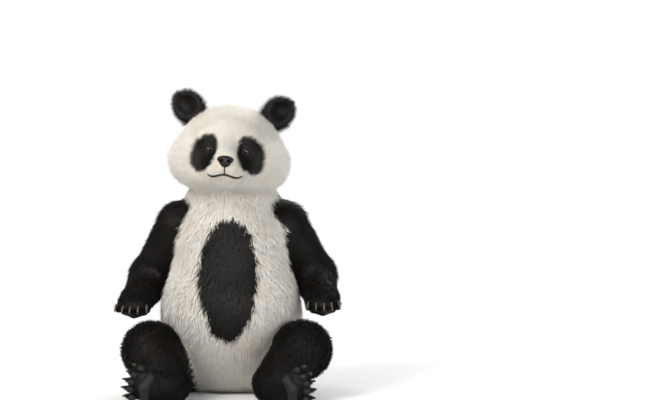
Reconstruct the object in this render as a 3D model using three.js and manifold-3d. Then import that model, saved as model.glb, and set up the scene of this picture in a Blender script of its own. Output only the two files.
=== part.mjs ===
// A life-size giant panda that sits upright on its rump, as a museum model: one still body, parted
// by thin cuts into the pieces that a person would name.
//
// Units are millimetres, +Z is up, the animal looks along -Y, and its left side is +X. The origin is
// on the floor, in the flat under its rump. The surface is the outer reach of the coat.
import * as THREE from "three";
import { mergeVertices } from "three/addons/utils/BufferGeometryUtils.js";
import Module from "manifold-3d";

const wasm = await Module();
wasm.setup();

// ---------------------------------------------------------------- driving sizes

const GAP = 0.3; // left between pieces that touch
const FLOOR = 0;

// Each mass is an ellipsoid: its middle and its half sizes along X, Y and Z.
const TRUNK = {
  softness: 70,
  rump: { at: [0, 45, 178], half: [258, 232, 202] },
  belly: { at: [0, -25, 300], half: [256, 236, 232] },
  ribs: { at: [0, 24, 494], half: [224, 212, 224] },
  withers: { at: [0, 76, 628], half: [198, 154, 126] },
  nape: { from: [0, 36, 668], fromRadius: 160, to: [0, -28, 800], toRadius: 148 },
};
const HEAD_BLEND = 38; // how softly the head runs into the neck
const ARM_BLEND = 36; // and the arms into the shoulders

// The head has a frame of its own, with its origin between the cheeks.
const HEAD = {
  at: [0, -80, 862],
  scale: 1.06, // of the sizes below
  roll: 4, // degrees, towards the left shoulder
  nod: 3, // degrees, chin down
  softness: 34,
  cranium: { at: [0, 20, 24], half: [166, 150, 130] },
  forehead: { at: [0, -62, 50], half: [114, 80, 82] },
  cheek: { at: [94, -22, -32], half: [108, 108, 98] },
  jowl: { at: [56, -62, -76], half: [80, 84, 58] },
  brow: { at: [54, -108, 42], half: [42, 34, 28] },
};
const MUZZLE = {
  softness: 26,
  barrel: { from: [0, -104, -32], fromRadius: 68, to: [0, -186, -44], toRadius: 47 },
  bridge: { from: [0, -92, 22], fromRadius: 42, to: [0, -200, -16], toRadius: 27 },
  lip: { at: [25, -190, -62], half: [35, 42, 32] },
  chin: { at: [0, -160, -92], half: [40, 52, 25] },
  // The parting round its root, an ellipse seen from the front.
  root: { at: [0, -50], half: [64, 62], back: -98 },
};
const EAR = {
  at: [125, 18, 111],
  splay: 42, // degrees outwards from upright
  toe: 8, // degrees that the cup turns outwards
  softness: 10,
  shell: { at: [0, 0, 34], half: [55, 27, 66] },
  hollow: { at: [0, -26, 46], half: [34, 25, 41] },
};
const EYE = {
  at: [61, 6], // seen from the front
  radius: 12.5,
  proud: 2.5, // how far the ball stands out of the coat's surface
  outward: 24, // degrees that it looks to the side
  opening: [13.6, 10.6],
  lid: 3.4,
};
// An eye patch, seen from the front. Towards the back its outline shrinks in steps, as [share, how far on].
const EYE_PATCH = {
  at: [72, -7],
  half: [41, 62],
  tilt: 22,
  back: -84,
  narrowing: [[0.55, 0], [0.82, 11], [0.95, 24], [1, 40]],
};
const NOSE = {
  softness: 8,
  top: { at: [0, -226, -21], half: [27, 19, 13] },
  tip: { at: [0, -225, -31], half: [18, 19, 16] },
  nostril: { at: [12, -242, -25], half: [6, 12, 4.2], slant: 28 },
};
// The mouth's line dips at each side of the middle and lifts at its corners.
const MOUTH = { middle: [0, -128, -74], halfAngle: 45, wave: 4.2, groove: 3.4, steps: 12 };

// Marks on the white coat of the trunk.
const BELLY_MARK = { at: [0, 432], half: [92, 205], back: -120 };
const SHOULDER_BAND = { front: -40, sideBottom: 478, rise: 24 }; // rise in degrees, towards the back

// Joints of each side, with the small differences of a relaxed animal. X is outwards.
const SIDES = {
  left: {
    sign: 1,
    shoulder: [182, 35, 598],
    elbow: [296, 84, 414],
    wrist: [323, -52, 354],
    pawEnd: [332, -176, 322],
    hip: [118, 20, 112],
    knee: [258, -196, 170],
    heel: [142, -402, 54],
    toes: [292, -464, 92],
  },
  right: {
    sign: -1,
    shoulder: [182, 35, 598],
    elbow: [297, 88, 410],
    wrist: [328, -44, 347],
    pawEnd: [342, -166, 311],
    hip: [118, 20, 112],
    knee: [268, -186, 166],
    heel: [166, -398, 54],
    toes: [318, -454, 98],
  },
};
const ARM = { softness: 36, shoulder: 96, elbow: 80, wrist: 65 };
const LEG = { softness: 34, hip: 120, knee: 98, ankle: 76, ankleFromHeel: 46 };
const FOREPAW = { half: [72, 67, 42], toe: [31, 17, 22], toeX: 51, claw: 15, clawRadius: 7 };
const HINDPAW = { half: [90, 67, 46], toe: [31, 17, 23], toeX: 66, claw: 11, clawRadius: 6.5 };
const TOES = { count: 5, apart: 25, back: 4.5, fan: 5 }; // fan in degrees from toe to toe
const TAIL = { from: [0, 204, 120], fromRadius: 72, to: [0, 296, 52], toRadius: 46 };

// The partings between neighbours: a point in each plane and which way it faces.
const NECK_TOP = { point: [0, -10, 768], normal: [0, -0.36, 0.93] };
const NECK_FOOT = { point: [0, 20, 704], normal: [0, -0.3, 0.95] };
const ARM_CUT = { x: 227, z: 500, lean: 10, bottom: 270 }; // a steep plane beside the ribs
const ARMPIT = 470;

// Grid steps: fine where the form is fine.
const STEP = { trunk: 51, head: 31, muzzle: 15, ear: 16, nose: 9, arm: 36, leg: 40, paw: 27, tail: 28 };

// The boxes that the grids fill, each from its low corner to its high one. The nose's is in the head's frame.
const BOX = {
  trunk: [[-330, -330, -40], [330, 330, 850]],
  tail: [[-110, 90, -40], [110, 370, 220]],
  head: [[-270, -340, 590], [270, 240, 1080]],
  face: [[-160, -430, 690], [160, -150, 980]],
  nose: [[-50, -265, -66], [50, -190, 10]],
  leftArm: [[150, -330, 300], [540, 190, 740]],
  leftLeg: [[-10, -560, -50], [480, 240, 360]],
};
const ROUND_PART = 120; // how far a grid reaches round an ear's root or a paw

// Sides of the round pieces: the parting blocks seen from the front, the lids, claws and grooves.
const SIDES_OF = { muzzle: 28, patch: 24, mark: 28, lidRing: 14, lid: 5, claw: 5, groove: 6 };

// ---------------------------------------------------------------- implicit shapes

const radians = THREE.MathUtils.degToRad;
const scaled = (v, s) => v.map((c) => c * s);
const plus = (...vs) => vs.reduce((a, b) => a.map((c, n) => c + b[n]));
const minus = (a, b) => a.map((c, n) => c - b[n]);
const dot = (a, b) => a[0] * b[0] + a[1] * b[1] + a[2] * b[2];
const cross = (a, b) => [a[1] * b[2] - a[2] * b[1], a[2] * b[0] - a[0] * b[2], a[0] * b[1] - a[1] * b[0]];
const unit = (v) => scaled(v, 1 / Math.hypot(...v));
const flipped = (p, sign) => [sign * p[0], ...p.slice(1)];

// Each form is a function of a point that is negative inside and about the distance in mm outside.
function ellipsoid({ at: [cx, cy, cz], half: [a, b, c] }) {
  return (x, y, z) => {
    const px = x - cx, py = y - cy, pz = z - cz;
    const near = Math.hypot(px / a, py / b, pz / c);
    const slope = Math.hypot(px / (a * a), py / (b * b), pz / (c * c));
    return slope < 1e-9 ? -Math.min(a, b, c) : (near * (near - 1)) / slope;
  };
}

// A round bar between two points whose radius runs evenly from one end to the other.
function tapered({ from, fromRadius, to, toRadius }) {
  const [ax, ay, az] = from;
  const bx = to[0] - ax, by = to[1] - ay, bz = to[2] - az;
  const length2 = bx * bx + by * by + bz * bz;
  return (x, y, z) => {
    const px = x - ax, py = y - ay, pz = z - az;
    const along = Math.min(1, Math.max(0, (px * bx + py * by + pz * bz) / length2));
    const away = Math.hypot(px - along * bx, py - along * by, pz - along * bz);
    return away - (fromRadius + along * (toRadius - fromRadius));
  };
}

// The smaller of two distances, rounded over a width of k where they cross.
function softMin(p, q, k) {
  const h = Math.max(k - Math.abs(p - q), 0) / k;
  return Math.min(p, q) - (h * h * k) / 4;
}

const blend = (k, forms) => (x, y, z) => forms.reduce((d, form) => softMin(d, form(x, y, z), k), 1e6);
const mirrored = (form) => (x, y, z) => form(Math.abs(x), y, z);
const hollowed = (form, hollow, k) => (x, y, z) => -softMin(-form(x, y, z), hollow(x, y, z), k);

// A form that is given in a frame of its own, moved to where that frame stands.
function placed(form, frame) {
  const e = frame.clone().invert().elements;
  return (x, y, z) =>
    form(
      e[0] * x + e[4] * y + e[8] * z + e[12],
      e[1] * x + e[5] * y + e[9] * z + e[13],
      e[2] * x + e[6] * y + e[10] * z + e[14],
    );
}

const frameAt = (at, [rx, ry, rz], order = "XYZ") =>
  new THREE.Matrix4()
    .makeRotationFromEuler(new THREE.Euler(radians(rx), radians(ry), radians(rz), order))
    .setPosition(...at);

// ---------------------------------------------------------------- meshing and cutting

// The closed surface where a form is zero, inside a box and on a grid of one step: the dual of the
// marching cubes. In each cell the crossed edges that share a face are joined into loops, each loop has
// one vertex, and a four-sided face goes round each grid edge that is crossed. The outermost grid
// points count as outside, so the box closes whatever runs out of it.
function surfaceOf(form, low, high, step) {
  const count = low.map((l, n) => Math.ceil((high[n] - l) / step) + 1);
  const stride = [1, count[0], count[0] * count[1]];
  const value = new Float32Array(count[0] * count[1] * count[2]);
  const eachPoint = (first, last, visit) => {
    for (let k = first; k < count[2] - last; k++)
      for (let j = first; j < count[1] - last; j++)
        for (let i = first; i < count[0] - last; i++) visit(i + j * stride[1] + k * stride[2], [i, j, k]);
  };
  eachPoint(0, 0, (at, cell) => {
    const d = form(...cell.map((c, n) => low[n] + c * step));
    value[at] = cell.some((c, n) => c === 0 || c === count[n] - 1) ? Math.max(d, step / 2) : d;
  });
  const position = [];
  const vertexOf = new Map();
  eachPoint(0, 1, (at, cell) => {
    const corner = CORNERS.map((c) => value[at + c[0] + c[1] * stride[1] + c[2] * stride[2]]);
    if (corner.every((v) => v < 0) || corner.every((v) => v >= 0)) return;
    for (const loop of loopsOf(corner)) {
      const sum = [0, 0, 0];
      for (const e of loop) {
        const [a, b] = EDGES[e];
        const t = corner[a] / (corner[a] - corner[b]);
        sum.forEach((_, n) => (sum[n] += CORNERS[a][n] + t * (CORNERS[b][n] - CORNERS[a][n])));
        vertexOf.set(12 * at + e, position.length / 3);
      }
      const point = sum.map((v, n) => low[n] + step * (cell[n] + v / loop.length));
      position.push(...settled(form, point, step));
    }
  });
  const index = [];
  const span = (p, q) => Math.hypot(...[0, 1, 2].map((n) => position[3 * p + n] - position[3 * q + n]));
  eachPoint(0, 1, (at) => {
    const inside = value[at] < 0;
    for (let axis = 0; axis < 3; axis++) {
      if (inside === value[at + stride[axis]] < 0) continue;
      const [u, v] = [(axis + 1) % 3, (axis + 2) % 3];
      const [a, b, c, d] = AROUND.map(([du, dv]) =>
        vertexOf.get(12 * (at - du * stride[u] - dv * stride[v]) + edgeAlong(axis, du, dv)),
      );
      const quad = span(a, c) < span(b, d) ? [a, b, c, a, c, d] : [a, b, d, b, c, d];
      index.push(...(inside ? quad : quad.reverse()));
    }
  });
  const geometry = new THREE.BufferGeometry();
  geometry.setAttribute("position", new THREE.Float32BufferAttribute(position, 3));
  geometry.setIndex(index);
  return solidOf(geometry);
}

// A cell's corners by the bits x, y and z, and its edges: four along each axis, by the two other bits.
const CORNERS = [0, 1, 2, 3, 4, 5, 6, 7].map((c) => [c & 1, (c >> 1) & 1, c >> 2]);
const AROUND = [[1, 1], [0, 1], [0, 0], [1, 0]];
const edgeAlong = (axis, du, dv) => 4 * axis + du + 2 * dv;
const EDGES = [0, 1, 2].flatMap((axis) =>
  [0, 1, 2, 3].map((bits) => {
    const start = ((bits & 1) << ((axis + 1) % 3)) | ((bits >> 1) << ((axis + 2) % 3));
    return [start, start | (1 << axis)];
  }),
);
const FACES = [0, 1, 2].flatMap((axis) =>
  [0, 1].map((side) => [0, 1, 2, 3, 4, 5, 6, 7].filter((c) => ((c >> axis) & 1) === side)),
);

// The loops of crossed edges in a cell. On a face where four edges are crossed, the two at each inside
// corner belong together, so both cells at that face agree.
function loopsOf(corner) {
  const crossed = EDGES.map(([a, b], e) => (corner[a] < 0 !== corner[b] < 0 ? e : -1)).filter((e) => e >= 0);
  const loop = new Map(crossed.map((e) => [e, e]));
  const join = (e, f) => {
    const [keep, drop] = [loop.get(e), loop.get(f)];
    for (const [g, at] of loop) if (at === drop) loop.set(g, keep);
  };
  for (const face of FACES) {
    const cut = crossed.filter((e) => EDGES[e].every((c) => face.includes(c)));
    if (cut.length === 2) join(...cut);
    if (cut.length === 4)
      for (const c of face.filter((c) => corner[c] < 0)) join(...cut.filter((e) => EDGES[e].includes(c)));
  }
  return [...new Set(loop.values())].map((root) => crossed.filter((e) => loop.get(e) === root));
}

// Moves a point on to the surface by two steps along the form's slope, unless it is far from it.
function settled(form, point, step) {
  let p = point;
  const h = 0.5;
  for (let round = 0; round < 2; round++) {
    const d = form(...p);
    if (Math.abs(d) > step / 2) return point;
    const slope = [0, 1, 2].map((n) => {
      const ahead = [...p], behind = [...p];
      ahead[n] += h;
      behind[n] -= h;
      return (form(...ahead) - form(...behind)) / (2 * h);
    });
    const steep = slope[0] ** 2 + slope[1] ** 2 + slope[2] ** 2;
    if (steep < 0.05) return p;
    p = p.map((v, n) => v - (d * slope[n]) / steep);
  }
  return p;
}

function solidOf(geometry) {
  const bare = new THREE.BufferGeometry();
  bare.setAttribute("position", geometry.getAttribute("position"));
  bare.setIndex(geometry.index);
  const merged = mergeVertices(bare, 1e-3);
  return new wasm.Manifold(
    new wasm.Mesh({
      numProp: 3,
      vertProperties: new Float32Array(merged.attributes.position.array),
      triVerts: new Uint32Array(merged.index.array),
    }),
  );
}

function geometryOf(solid) {
  const mesh = solid.getMesh();
  const geometry = new THREE.BufferGeometry();
  geometry.setAttribute("position", new THREE.BufferAttribute(mesh.vertProperties, 3));
  geometry.setIndex(new THREE.BufferAttribute(mesh.triVerts, 1));
  return geometry;
}

// A three.js geometry put into place by a matrix, as a solid.
const solidAt = (geometry, matrix = new THREE.Matrix4()) => solidOf(geometry.clone().applyMatrix4(matrix));

// The same solid with every vertex moved outwards along its normal, so that it encloses the first.
function swollen(solid, by) {
  const geometry = geometryOf(solid);
  geometry.computeVertexNormals();
  const p = geometry.attributes.position, n = geometry.attributes.normal;
  for (let i = 0; i < p.count; i++)
    p.setXYZ(i, p.getX(i) + by * n.getX(i), p.getY(i) + by * n.getY(i), p.getZ(i) + by * n.getZ(i));
  return solidOf(geometry);
}

const union = (solids) => solids.reduce((a, b) => a.add(b));
const largest = (solid) =>
  solid.decompose().reduce((a, b) => (b.volume() > a.volume() ? b : a));
const onFloor = (solid) => solid.trimByPlane([0, 0, 1], FLOOR);

// Parts a solid at a plane through a point: the piece ahead of it along the normal, and the rest.
function parted(solid, point, normal) {
  const n = new THREE.Vector3(...normal).normalize();
  const offset = n.dot(new THREE.Vector3(...point));
  return [
    largest(solid.trimByPlane(n.toArray(), offset + GAP / 2)),
    largest(solid.trimByPlane(n.clone().negate().toArray(), -(offset - GAP / 2))),
  ];
}

// A solid through rings of equally many points: open at neither end, or joined end to start.
function ringSolid(rings, joined = false) {
  const sides = rings[0].length;
  const position = rings.flat(2);
  const index = [];
  const last = joined ? rings.length : rings.length - 1;
  for (let ring = 0; ring < last; ring++)
    for (let side = 0; side < sides; side++) {
      const a = ring * sides + side;
      const b = ring * sides + ((side + 1) % sides);
      const c = ((ring + 1) % rings.length) * sides + side;
      const d = ((ring + 1) % rings.length) * sides + ((side + 1) % sides);
      index.push(a, b, d, a, d, c);
    }
  if (!joined)
    for (let side = 1; side < sides - 1; side++) {
      const end = (rings.length - 1) * sides;
      index.push(0, side + 1, side, end, end + side, end + side + 1);
    }
  const geometry = new THREE.BufferGeometry();
  geometry.setAttribute("position", new THREE.Float32BufferAttribute(position, 3));
  geometry.setIndex(index);
  const solid = solidOf(geometry);
  if (solid.volume() > 0) return solid;
  geometry.setIndex(index.reverse());
  return solidOf(geometry);
}

// A rod of one radius, or a radius for each point, along points; its sections stay square to them.
function rod(points, radius, sides, joined = false) {
  const last = points.length - 1;
  const at = (n) => points[joined ? (n + points.length) % points.length : Math.min(Math.max(n, 0), last)];
  return ringSolid(
    points.map((point, n) => {
      const ahead = unit(minus(at(n + 1), at(n - 1)));
      const across = unit(cross(ahead, Math.abs(ahead[1]) < 0.9 ? [0, 1, 0] : [0, 0, 1]));
      const up = cross(across, ahead);
      const r = Array.isArray(radius) ? radius[n] : radius;
      return Array.from({ length: sides }, (_, side) => {
        const a = (2 * Math.PI * side) / sides;
        return plus(point, scaled(across, r * Math.cos(a)), scaled(up, r * Math.sin(a)));
      });
    }),
    joined,
  );
}

// A block whose outline is an ellipse in XZ, tilted about Y, from y = back to y = front. Its back end may
// narrow, in steps of a share of the outline and how far ahead of the back it is reached.
function ellipseBlock({ at, half, tilt = 0, back, narrowing = [[1, 0]] }, clearance, front, sides) {
  const turn = radians(tilt);
  const ring = (share, y) =>
    Array.from({ length: sides }, (_, side) => {
      const a = (2 * Math.PI * side) / sides;
      const x = (half[0] * share + clearance) * Math.cos(a);
      const z = (half[1] * share + clearance) * Math.sin(a);
      const across = at[0] + x * Math.cos(turn) - z * Math.sin(turn);
      return [across, y, at[1] + x * Math.sin(turn) + z * Math.cos(turn)];
    });
  const steps = narrowing.map(([share, ahead]) => ring(share, back - ahead + clearance));
  return ringSolid([...steps, ring(1, front)]);
}

// Where a form's surface lies, going from a point inside it along a direction.
function surfaceFrom(form, inside, direction, reach = 400) {
  let near = 0, far = reach;
  for (let halving = 0; halving < 30; halving++) {
    const middle = (near + far) / 2;
    if (form(...plus(inside, scaled(direction, middle))) < 0) near = middle;
    else far = middle;
  }
  return plus(inside, scaled(direction, near));
}

// ---------------------------------------------------------------- the forms of the body

const trunkForm = blend(TRUNK.softness, [
  ellipsoid(TRUNK.rump),
  ellipsoid(TRUNK.belly),
  ellipsoid(TRUNK.ribs),
  ellipsoid(TRUNK.withers),
  tapered(TRUNK.nape),
]);

const headFrame = frameAt(HEAD.at, [HEAD.nod, HEAD.roll, 0]).scale(new THREE.Vector3().setScalar(HEAD.scale));
const muzzleForm = blend(MUZZLE.softness, [
  tapered(MUZZLE.barrel),
  tapered(MUZZLE.bridge),
  mirrored(ellipsoid(MUZZLE.lip)),
  ellipsoid(MUZZLE.chin),
]);
const skullForm = blend(HEAD.softness, [
  ellipsoid(HEAD.cranium),
  ellipsoid(HEAD.forehead),
  mirrored(ellipsoid(HEAD.cheek)),
  mirrored(ellipsoid(HEAD.jowl)),
  mirrored(ellipsoid(HEAD.brow)),
  muzzleForm,
]);
const inHeadForm = placed(skullForm, headFrame);
const headForm = (x, y, z) => HEAD.scale * inHeadForm(x, y, z);
const bodyForm = (x, y, z) => softMin(trunkForm(x, y, z), headForm(x, y, z), HEAD_BLEND);

const earForm = hollowed(ellipsoid(EAR.shell), ellipsoid(EAR.hollow), EAR.softness);
const earFrame = (sign) =>
  headFrame.clone().multiply(frameAt(flipped(EAR.at, sign), [0, sign * EAR.splay, sign * EAR.toe]));

// ---------------------------------------------------------------- a limb and its paw

// A paw's frame stands at its middle: X runs to the toes, Z out of the sole, Y across.
function pawFrame(root, tip, sole) {
  const along = unit(minus(tip, root));
  const out = unit(minus(sole, scaled(along, dot(sole, along))));
  const across = cross(out, along);
  return new THREE.Matrix4()
    .makeBasis(...[along, across, out].map((v) => new THREE.Vector3(...v)))
    .setPosition(...scaled(plus(root, tip), 0.5));
}

// Where toe number n stands and points, in the paw's frame.
function toeFrame(paw, n) {
  const turn = n - (TOES.count - 1) / 2;
  return frameAt([paw.toeX - TOES.back * turn * turn, turn * TOES.apart, 4], [0, 0, turn * TOES.fan]);
}

function pawForm(paw) {
  const [length, width, depth] = paw.half;
  const pad = ellipsoid({ at: [0, 0, depth * 0.72], half: [length * 0.4, width * 0.76, depth * 0.4] });
  return blend(12, [ellipsoid({ at: [-length * 0.14, 0, 0], half: paw.half }), pad]);
}

// A toe and its claw: a rod that narrows to a point and bends down towards the sole.
function toeSolid(paw, n) {
  const [reach, , thick] = paw.toe;
  const shares = [0, 0.6, 1];
  const along = (t) => reach * 0.7 + (paw.claw + reach * 0.3) * t;
  const down = (t) => paw.claw * 0.45 * t * t - thick * 0.3;
  const points = shares.map((t) => [along(t), 0, down(t)]);
  const claw = rod(points, shares.map((t) => paw.clawRadius * (1 - 0.75 * t ** 1.5)), SIDES_OF.claw);
  const toe = solidAt(new THREE.SphereGeometry(1, 8, 6).rotateZ(Math.PI / 2).scale(...paw.toe));
  return toe.add(claw).transform(toeFrame(paw, n).elements);
}

function armOf(side) {
  const [shoulder, elbow, wrist, pawEnd] = [side.shoulder, side.elbow, side.wrist, side.pawEnd].map((p) =>
    flipped(p, side.sign),
  );
  const frame = pawFrame(wrist, pawEnd, [0, 0.15, -1]);
  const form = blend(ARM.softness, [
    tapered({ from: shoulder, fromRadius: ARM.shoulder, to: elbow, toRadius: ARM.elbow }),
    tapered({ from: elbow, fromRadius: ARM.elbow, to: wrist, toRadius: ARM.wrist }),
    placed(pawForm(FOREPAW), frame),
  ]);
  return { sign: side.sign, shoulder, elbow, wrist, pawEnd, frame, form };
}

function legOf(side) {
  const [hip, knee, heel, toes] = [side.hip, side.knee, side.heel, side.toes].map((p) =>
    flipped(p, side.sign),
  );
  const frame = pawFrame(heel, toes, [0, -1, -0.1]);
  const ankle = plus(heel, scaled(unit(minus(knee, heel)), LEG.ankleFromHeel));
  const form = blend(LEG.softness, [
    tapered({ from: hip, fromRadius: LEG.hip, to: knee, toRadius: LEG.knee }),
    tapered({ from: knee, fromRadius: LEG.knee, to: ankle, toRadius: LEG.ankle }),
    placed(pawForm(HINDPAW), frame),
  ]);
  return { sign: side.sign, hip, knee, ankle, heel, toes, frame, form };
}

const arms = { left: armOf(SIDES.left), right: armOf(SIDES.right) };
const legs = { left: legOf(SIDES.left), right: legOf(SIDES.right) };
const wholeForm = (x, y, z) =>
  [arms.left, arms.right].reduce((d, arm) => softMin(d, arm.form(x, y, z), ARM_BLEND), bodyForm(x, y, z));

// ---------------------------------------------------------------- materials and nodes

const panda = new THREE.Group();
const finish = (color, roughness) => new THREE.MeshStandardMaterial({ color, roughness, metalness: 0 });
const MATERIALS = {
  whiteCoat: finish(0xece6d8, 0.9),
  blackCoat: finish(0x17130f, 0.9),
  nose: finish(0x0d0b0a, 0.45),
  eye: finish(0x1c0f08, 0.08),
};

function node(name, material, solid) {
  const mesh = new THREE.Mesh(geometryOf(largest(solid)), MATERIALS[material]);
  mesh.name = name;
  panda.add(mesh);
  return solid;
}

// ---------------------------------------------------------------- trunk, neck and shoulders

const BIG = 1500; // reaches past everything
const halfSpace = (point, turn) =>
  solidAt(
    new THREE.BoxGeometry(BIG, BIG, BIG).translate(BIG / 2, 0, 0),
    new THREE.Matrix4().makeRotationFromEuler(turn).setPosition(...point),
  );

// Everything outside a steep plane beside the ribs, above the knees: what lies in it is the arm.
function armBlock(sign, clearance) {
  const lean = radians(ARM_CUT.lean);
  const turn = new THREE.Euler(0, sign > 0 ? -lean : Math.PI + lean, 0);
  const outside = halfSpace([sign * (ARM_CUT.x - clearance), 0, ARM_CUT.z], turn);
  const above = halfSpace([0, 0, ARM_CUT.bottom - clearance], new THREE.Euler(0, -Math.PI / 2, 0));
  return outside.intersect(above);
}

// Everything behind the chest and above a plane that rises towards the back.
function bandBlock(clearance) {
  const { front, sideBottom, rise } = SHOULDER_BAND;
  const behind = halfSpace([0, front - clearance, 0], new THREE.Euler(0, 0, Math.PI / 2));
  const upwards = new THREE.Euler(radians(rise), -Math.PI / 2, 0);
  const above = halfSpace([0, 0, sideBottom - clearance], upwards);
  return behind.intersect(above);
}

// The trunk with the arms joined to it only above the armpits: below them it has its own side.
const shoulderedForm = (x, y, z) =>
  [arms.left, arms.right].reduce(
    (d, arm) => softMin(d, Math.max(arm.form(x, y, z), ARMPIT - z), ARM_BLEND),
    bodyForm(x, y, z),
  );

const trunkSwollen = swollen(surfaceOf(wholeForm, ...BOX.trunk, STEP.trunk), GAP);
const trunkRaw = surfaceOf(shoulderedForm, ...BOX.trunk, STEP.trunk);
const armless = largest(onFloor(trunkRaw).subtract(union([armBlock(1, GAP), armBlock(-1, GAP)])));
const [, trunk] = parted(armless, NECK_FOOT.point, NECK_FOOT.normal);
const torso = largest(trunk.subtract(bandBlock(GAP)));
const markBlock = (clearance) => ellipseBlock(BELLY_MARK, clearance, -BIG / 2, SIDES_OF.mark);

node("torso", "whiteCoat", torso.subtract(markBlock(GAP)));
node("belly_mark", "blackCoat", torso.intersect(markBlock(0)));
node("shoulders", "blackCoat", trunk.intersect(bandBlock(0)));

const tail = surfaceOf(tapered(TAIL), ...BOX.tail, STEP.tail);
node("tail", "whiteCoat", onFloor(tail).subtract(trunkSwollen));

// ---------------------------------------------------------------- head

const inHead = (solid) => solid.transform(headFrame.elements);
const FRONT = -400; // past the nose, in the head's frame

const headRaw = surfaceOf(wholeForm, ...BOX.head, STEP.head);
const [headAll, neckDown] = parted(headRaw, NECK_TOP.point, NECK_TOP.normal);
const [neck] = parted(neckDown, NECK_FOOT.point, NECK_FOOT.normal);
node("neck", "whiteCoat", neck.subtract(union([armBlock(1, GAP), armBlock(-1, GAP)])));
const headSwollen = swollen(headRaw, GAP);
const faceRaw = surfaceOf(wholeForm, ...BOX.face, STEP.muzzle);

const muzzleBlock = (clearance) => inHead(ellipseBlock(MUZZLE.root, clearance, FRONT, SIDES_OF.muzzle));
const patchBlock = (sign, clearance) => {
  const patch = { ...EYE_PATCH, at: flipped(EYE_PATCH.at, sign), tilt: sign * EYE_PATCH.tilt };
  return inHead(ellipseBlock(patch, clearance, FRONT, SIDES_OF.patch));
};

// An eyeball's middle, in the head's frame, set back from the surface that it looks out of.
function eyeFrame(sign) {
  const behind = [sign * EYE.at[0], -60, EYE.at[1]];
  const surface = surfaceFrom(skullForm, behind, [0, -1, 0]);
  const middle = plus(surface, [0, EYE.radius - EYE.proud, 0]);
  return headFrame.clone().multiply(frameAt(middle, [0, 0, sign * EYE.outward]));
}

const ball = (radius) => new THREE.SphereGeometry(radius, 12, 8).rotateX(Math.PI / 2);

// Both lids as one rim that lies on the ball, round an almond-shaped opening.
function lidRim(frame) {
  const [halfWidth, halfHeight] = EYE.opening;
  const reach = EYE.radius + 2.2;
  const points = Array.from({ length: SIDES_OF.lidRing }, (_, n) => {
    const a = (2 * Math.PI * n) / SIDES_OF.lidRing;
    const x = halfWidth * Math.cos(a);
    const z = halfHeight * Math.sin(a);
    return [x, -Math.sqrt(reach ** 2 - x ** 2 - z ** 2), z];
  });
  return rod(points, EYE.lid, SIDES_OF.lid, true).transform(frame.elements);
}

const eyeSockets = [];
for (const [name, sign] of [["left", 1], ["right", -1]]) {
  const frame = eyeFrame(sign);
  const socket = solidAt(ball(EYE.radius + GAP), frame);
  const patch = faceRaw.intersect(patchBlock(sign, 0)).subtract(muzzleBlock(GAP));
  eyeSockets.push(socket);
  node(`eye_patch_${name}`, "blackCoat", patch.add(lidRim(frame)).subtract(socket));
  node(`eye_${name}`, "eye", solidAt(ball(EYE.radius), frame));
}
const faceCuts = [muzzleBlock(GAP), patchBlock(1, GAP), patchBlock(-1, GAP), ...eyeSockets];
node("head", "whiteCoat", headAll.subtract(union(faceCuts)));

for (const [name, sign] of [["left", 1], ["right", -1]]) {
  const root = earFrame(sign).elements.slice(12, 15);
  const box = [root.map((c) => c - ROUND_PART), root.map((c) => c + ROUND_PART)];
  const ear = surfaceOf(placed(earForm, earFrame(sign)), ...box, STEP.ear);
  node(`ear_${name}`, "blackCoat", ear.subtract(headSwollen));
}

// The jaw is parted from the muzzle at a level plane of the head. The mouth's groove runs round the
// muzzle close to that plane, and a second groove drops to it from the nose.
const mouthPoints = Array.from({ length: MOUTH.steps + 1 }, (_, n) => {
  const share = (2 * n) / MOUTH.steps - 1;
  const a = radians(MOUTH.halfAngle * share);
  const lift = MOUTH.wave * Math.cos(2 * Math.PI * share);
  return surfaceFrom(skullForm, plus(MOUTH.middle, [0, 0, lift]), [Math.sin(a), -Math.cos(a), 0]);
});
const cleftPoints = [-38, -50, -61, MOUTH.middle[2] + MOUTH.wave].map((z) =>
  surfaceFrom(skullForm, [0, MOUTH.middle[1], z], [0, -1, 0]),
);
const mouthLine = rod(mouthPoints, MOUTH.groove, SIDES_OF.groove);
const cleft = rod(cleftPoints, MOUTH.groove * 0.8, SIDES_OF.groove);
const grooves = inHead(mouthLine.add(cleft));
const muzzleAll = faceRaw.intersect(muzzleBlock(0));
const headUp = new THREE.Vector3(0, 0, 1).transformDirection(headFrame).toArray();
const mouthMiddle = new THREE.Vector3(...MOUTH.middle).applyMatrix4(headFrame).toArray();
const [muzzle, jaw] = parted(muzzleAll.subtract(grooves), mouthMiddle, headUp);
node("muzzle", "whiteCoat", muzzle);
node("lower_jaw", "whiteCoat", jaw);

const noseForm = blend(NOSE.softness, [ellipsoid(NOSE.top), ellipsoid(NOSE.tip)]);
const noseRaw = surfaceOf(noseForm, ...BOX.nose, STEP.nose);
const nostrils = [1, -1].map((sign) => {
  const { at, half, slant } = NOSE.nostril;
  const pit = new THREE.SphereGeometry(1, 10, 6).scale(...half);
  return solidAt(pit, frameAt(flipped(at, sign), [0, sign * slant, 0]));
});
node("nose", "nose", inHead(noseRaw.subtract(union(nostrils))).subtract(swollen(faceRaw, GAP)));

// ---------------------------------------------------------------- limbs

const boxRound = (a, b, margin) => [
  a.map((v, n) => Math.min(v, b[n]) - margin),
  a.map((v, n) => Math.max(v, b[n]) + margin),
];
const withToes = (palm, paw, frame) =>
  union([palm, ...Array.from({ length: TOES.count }, (_, n) => toeSolid(paw, n).transform(frame.elements))]);

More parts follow.
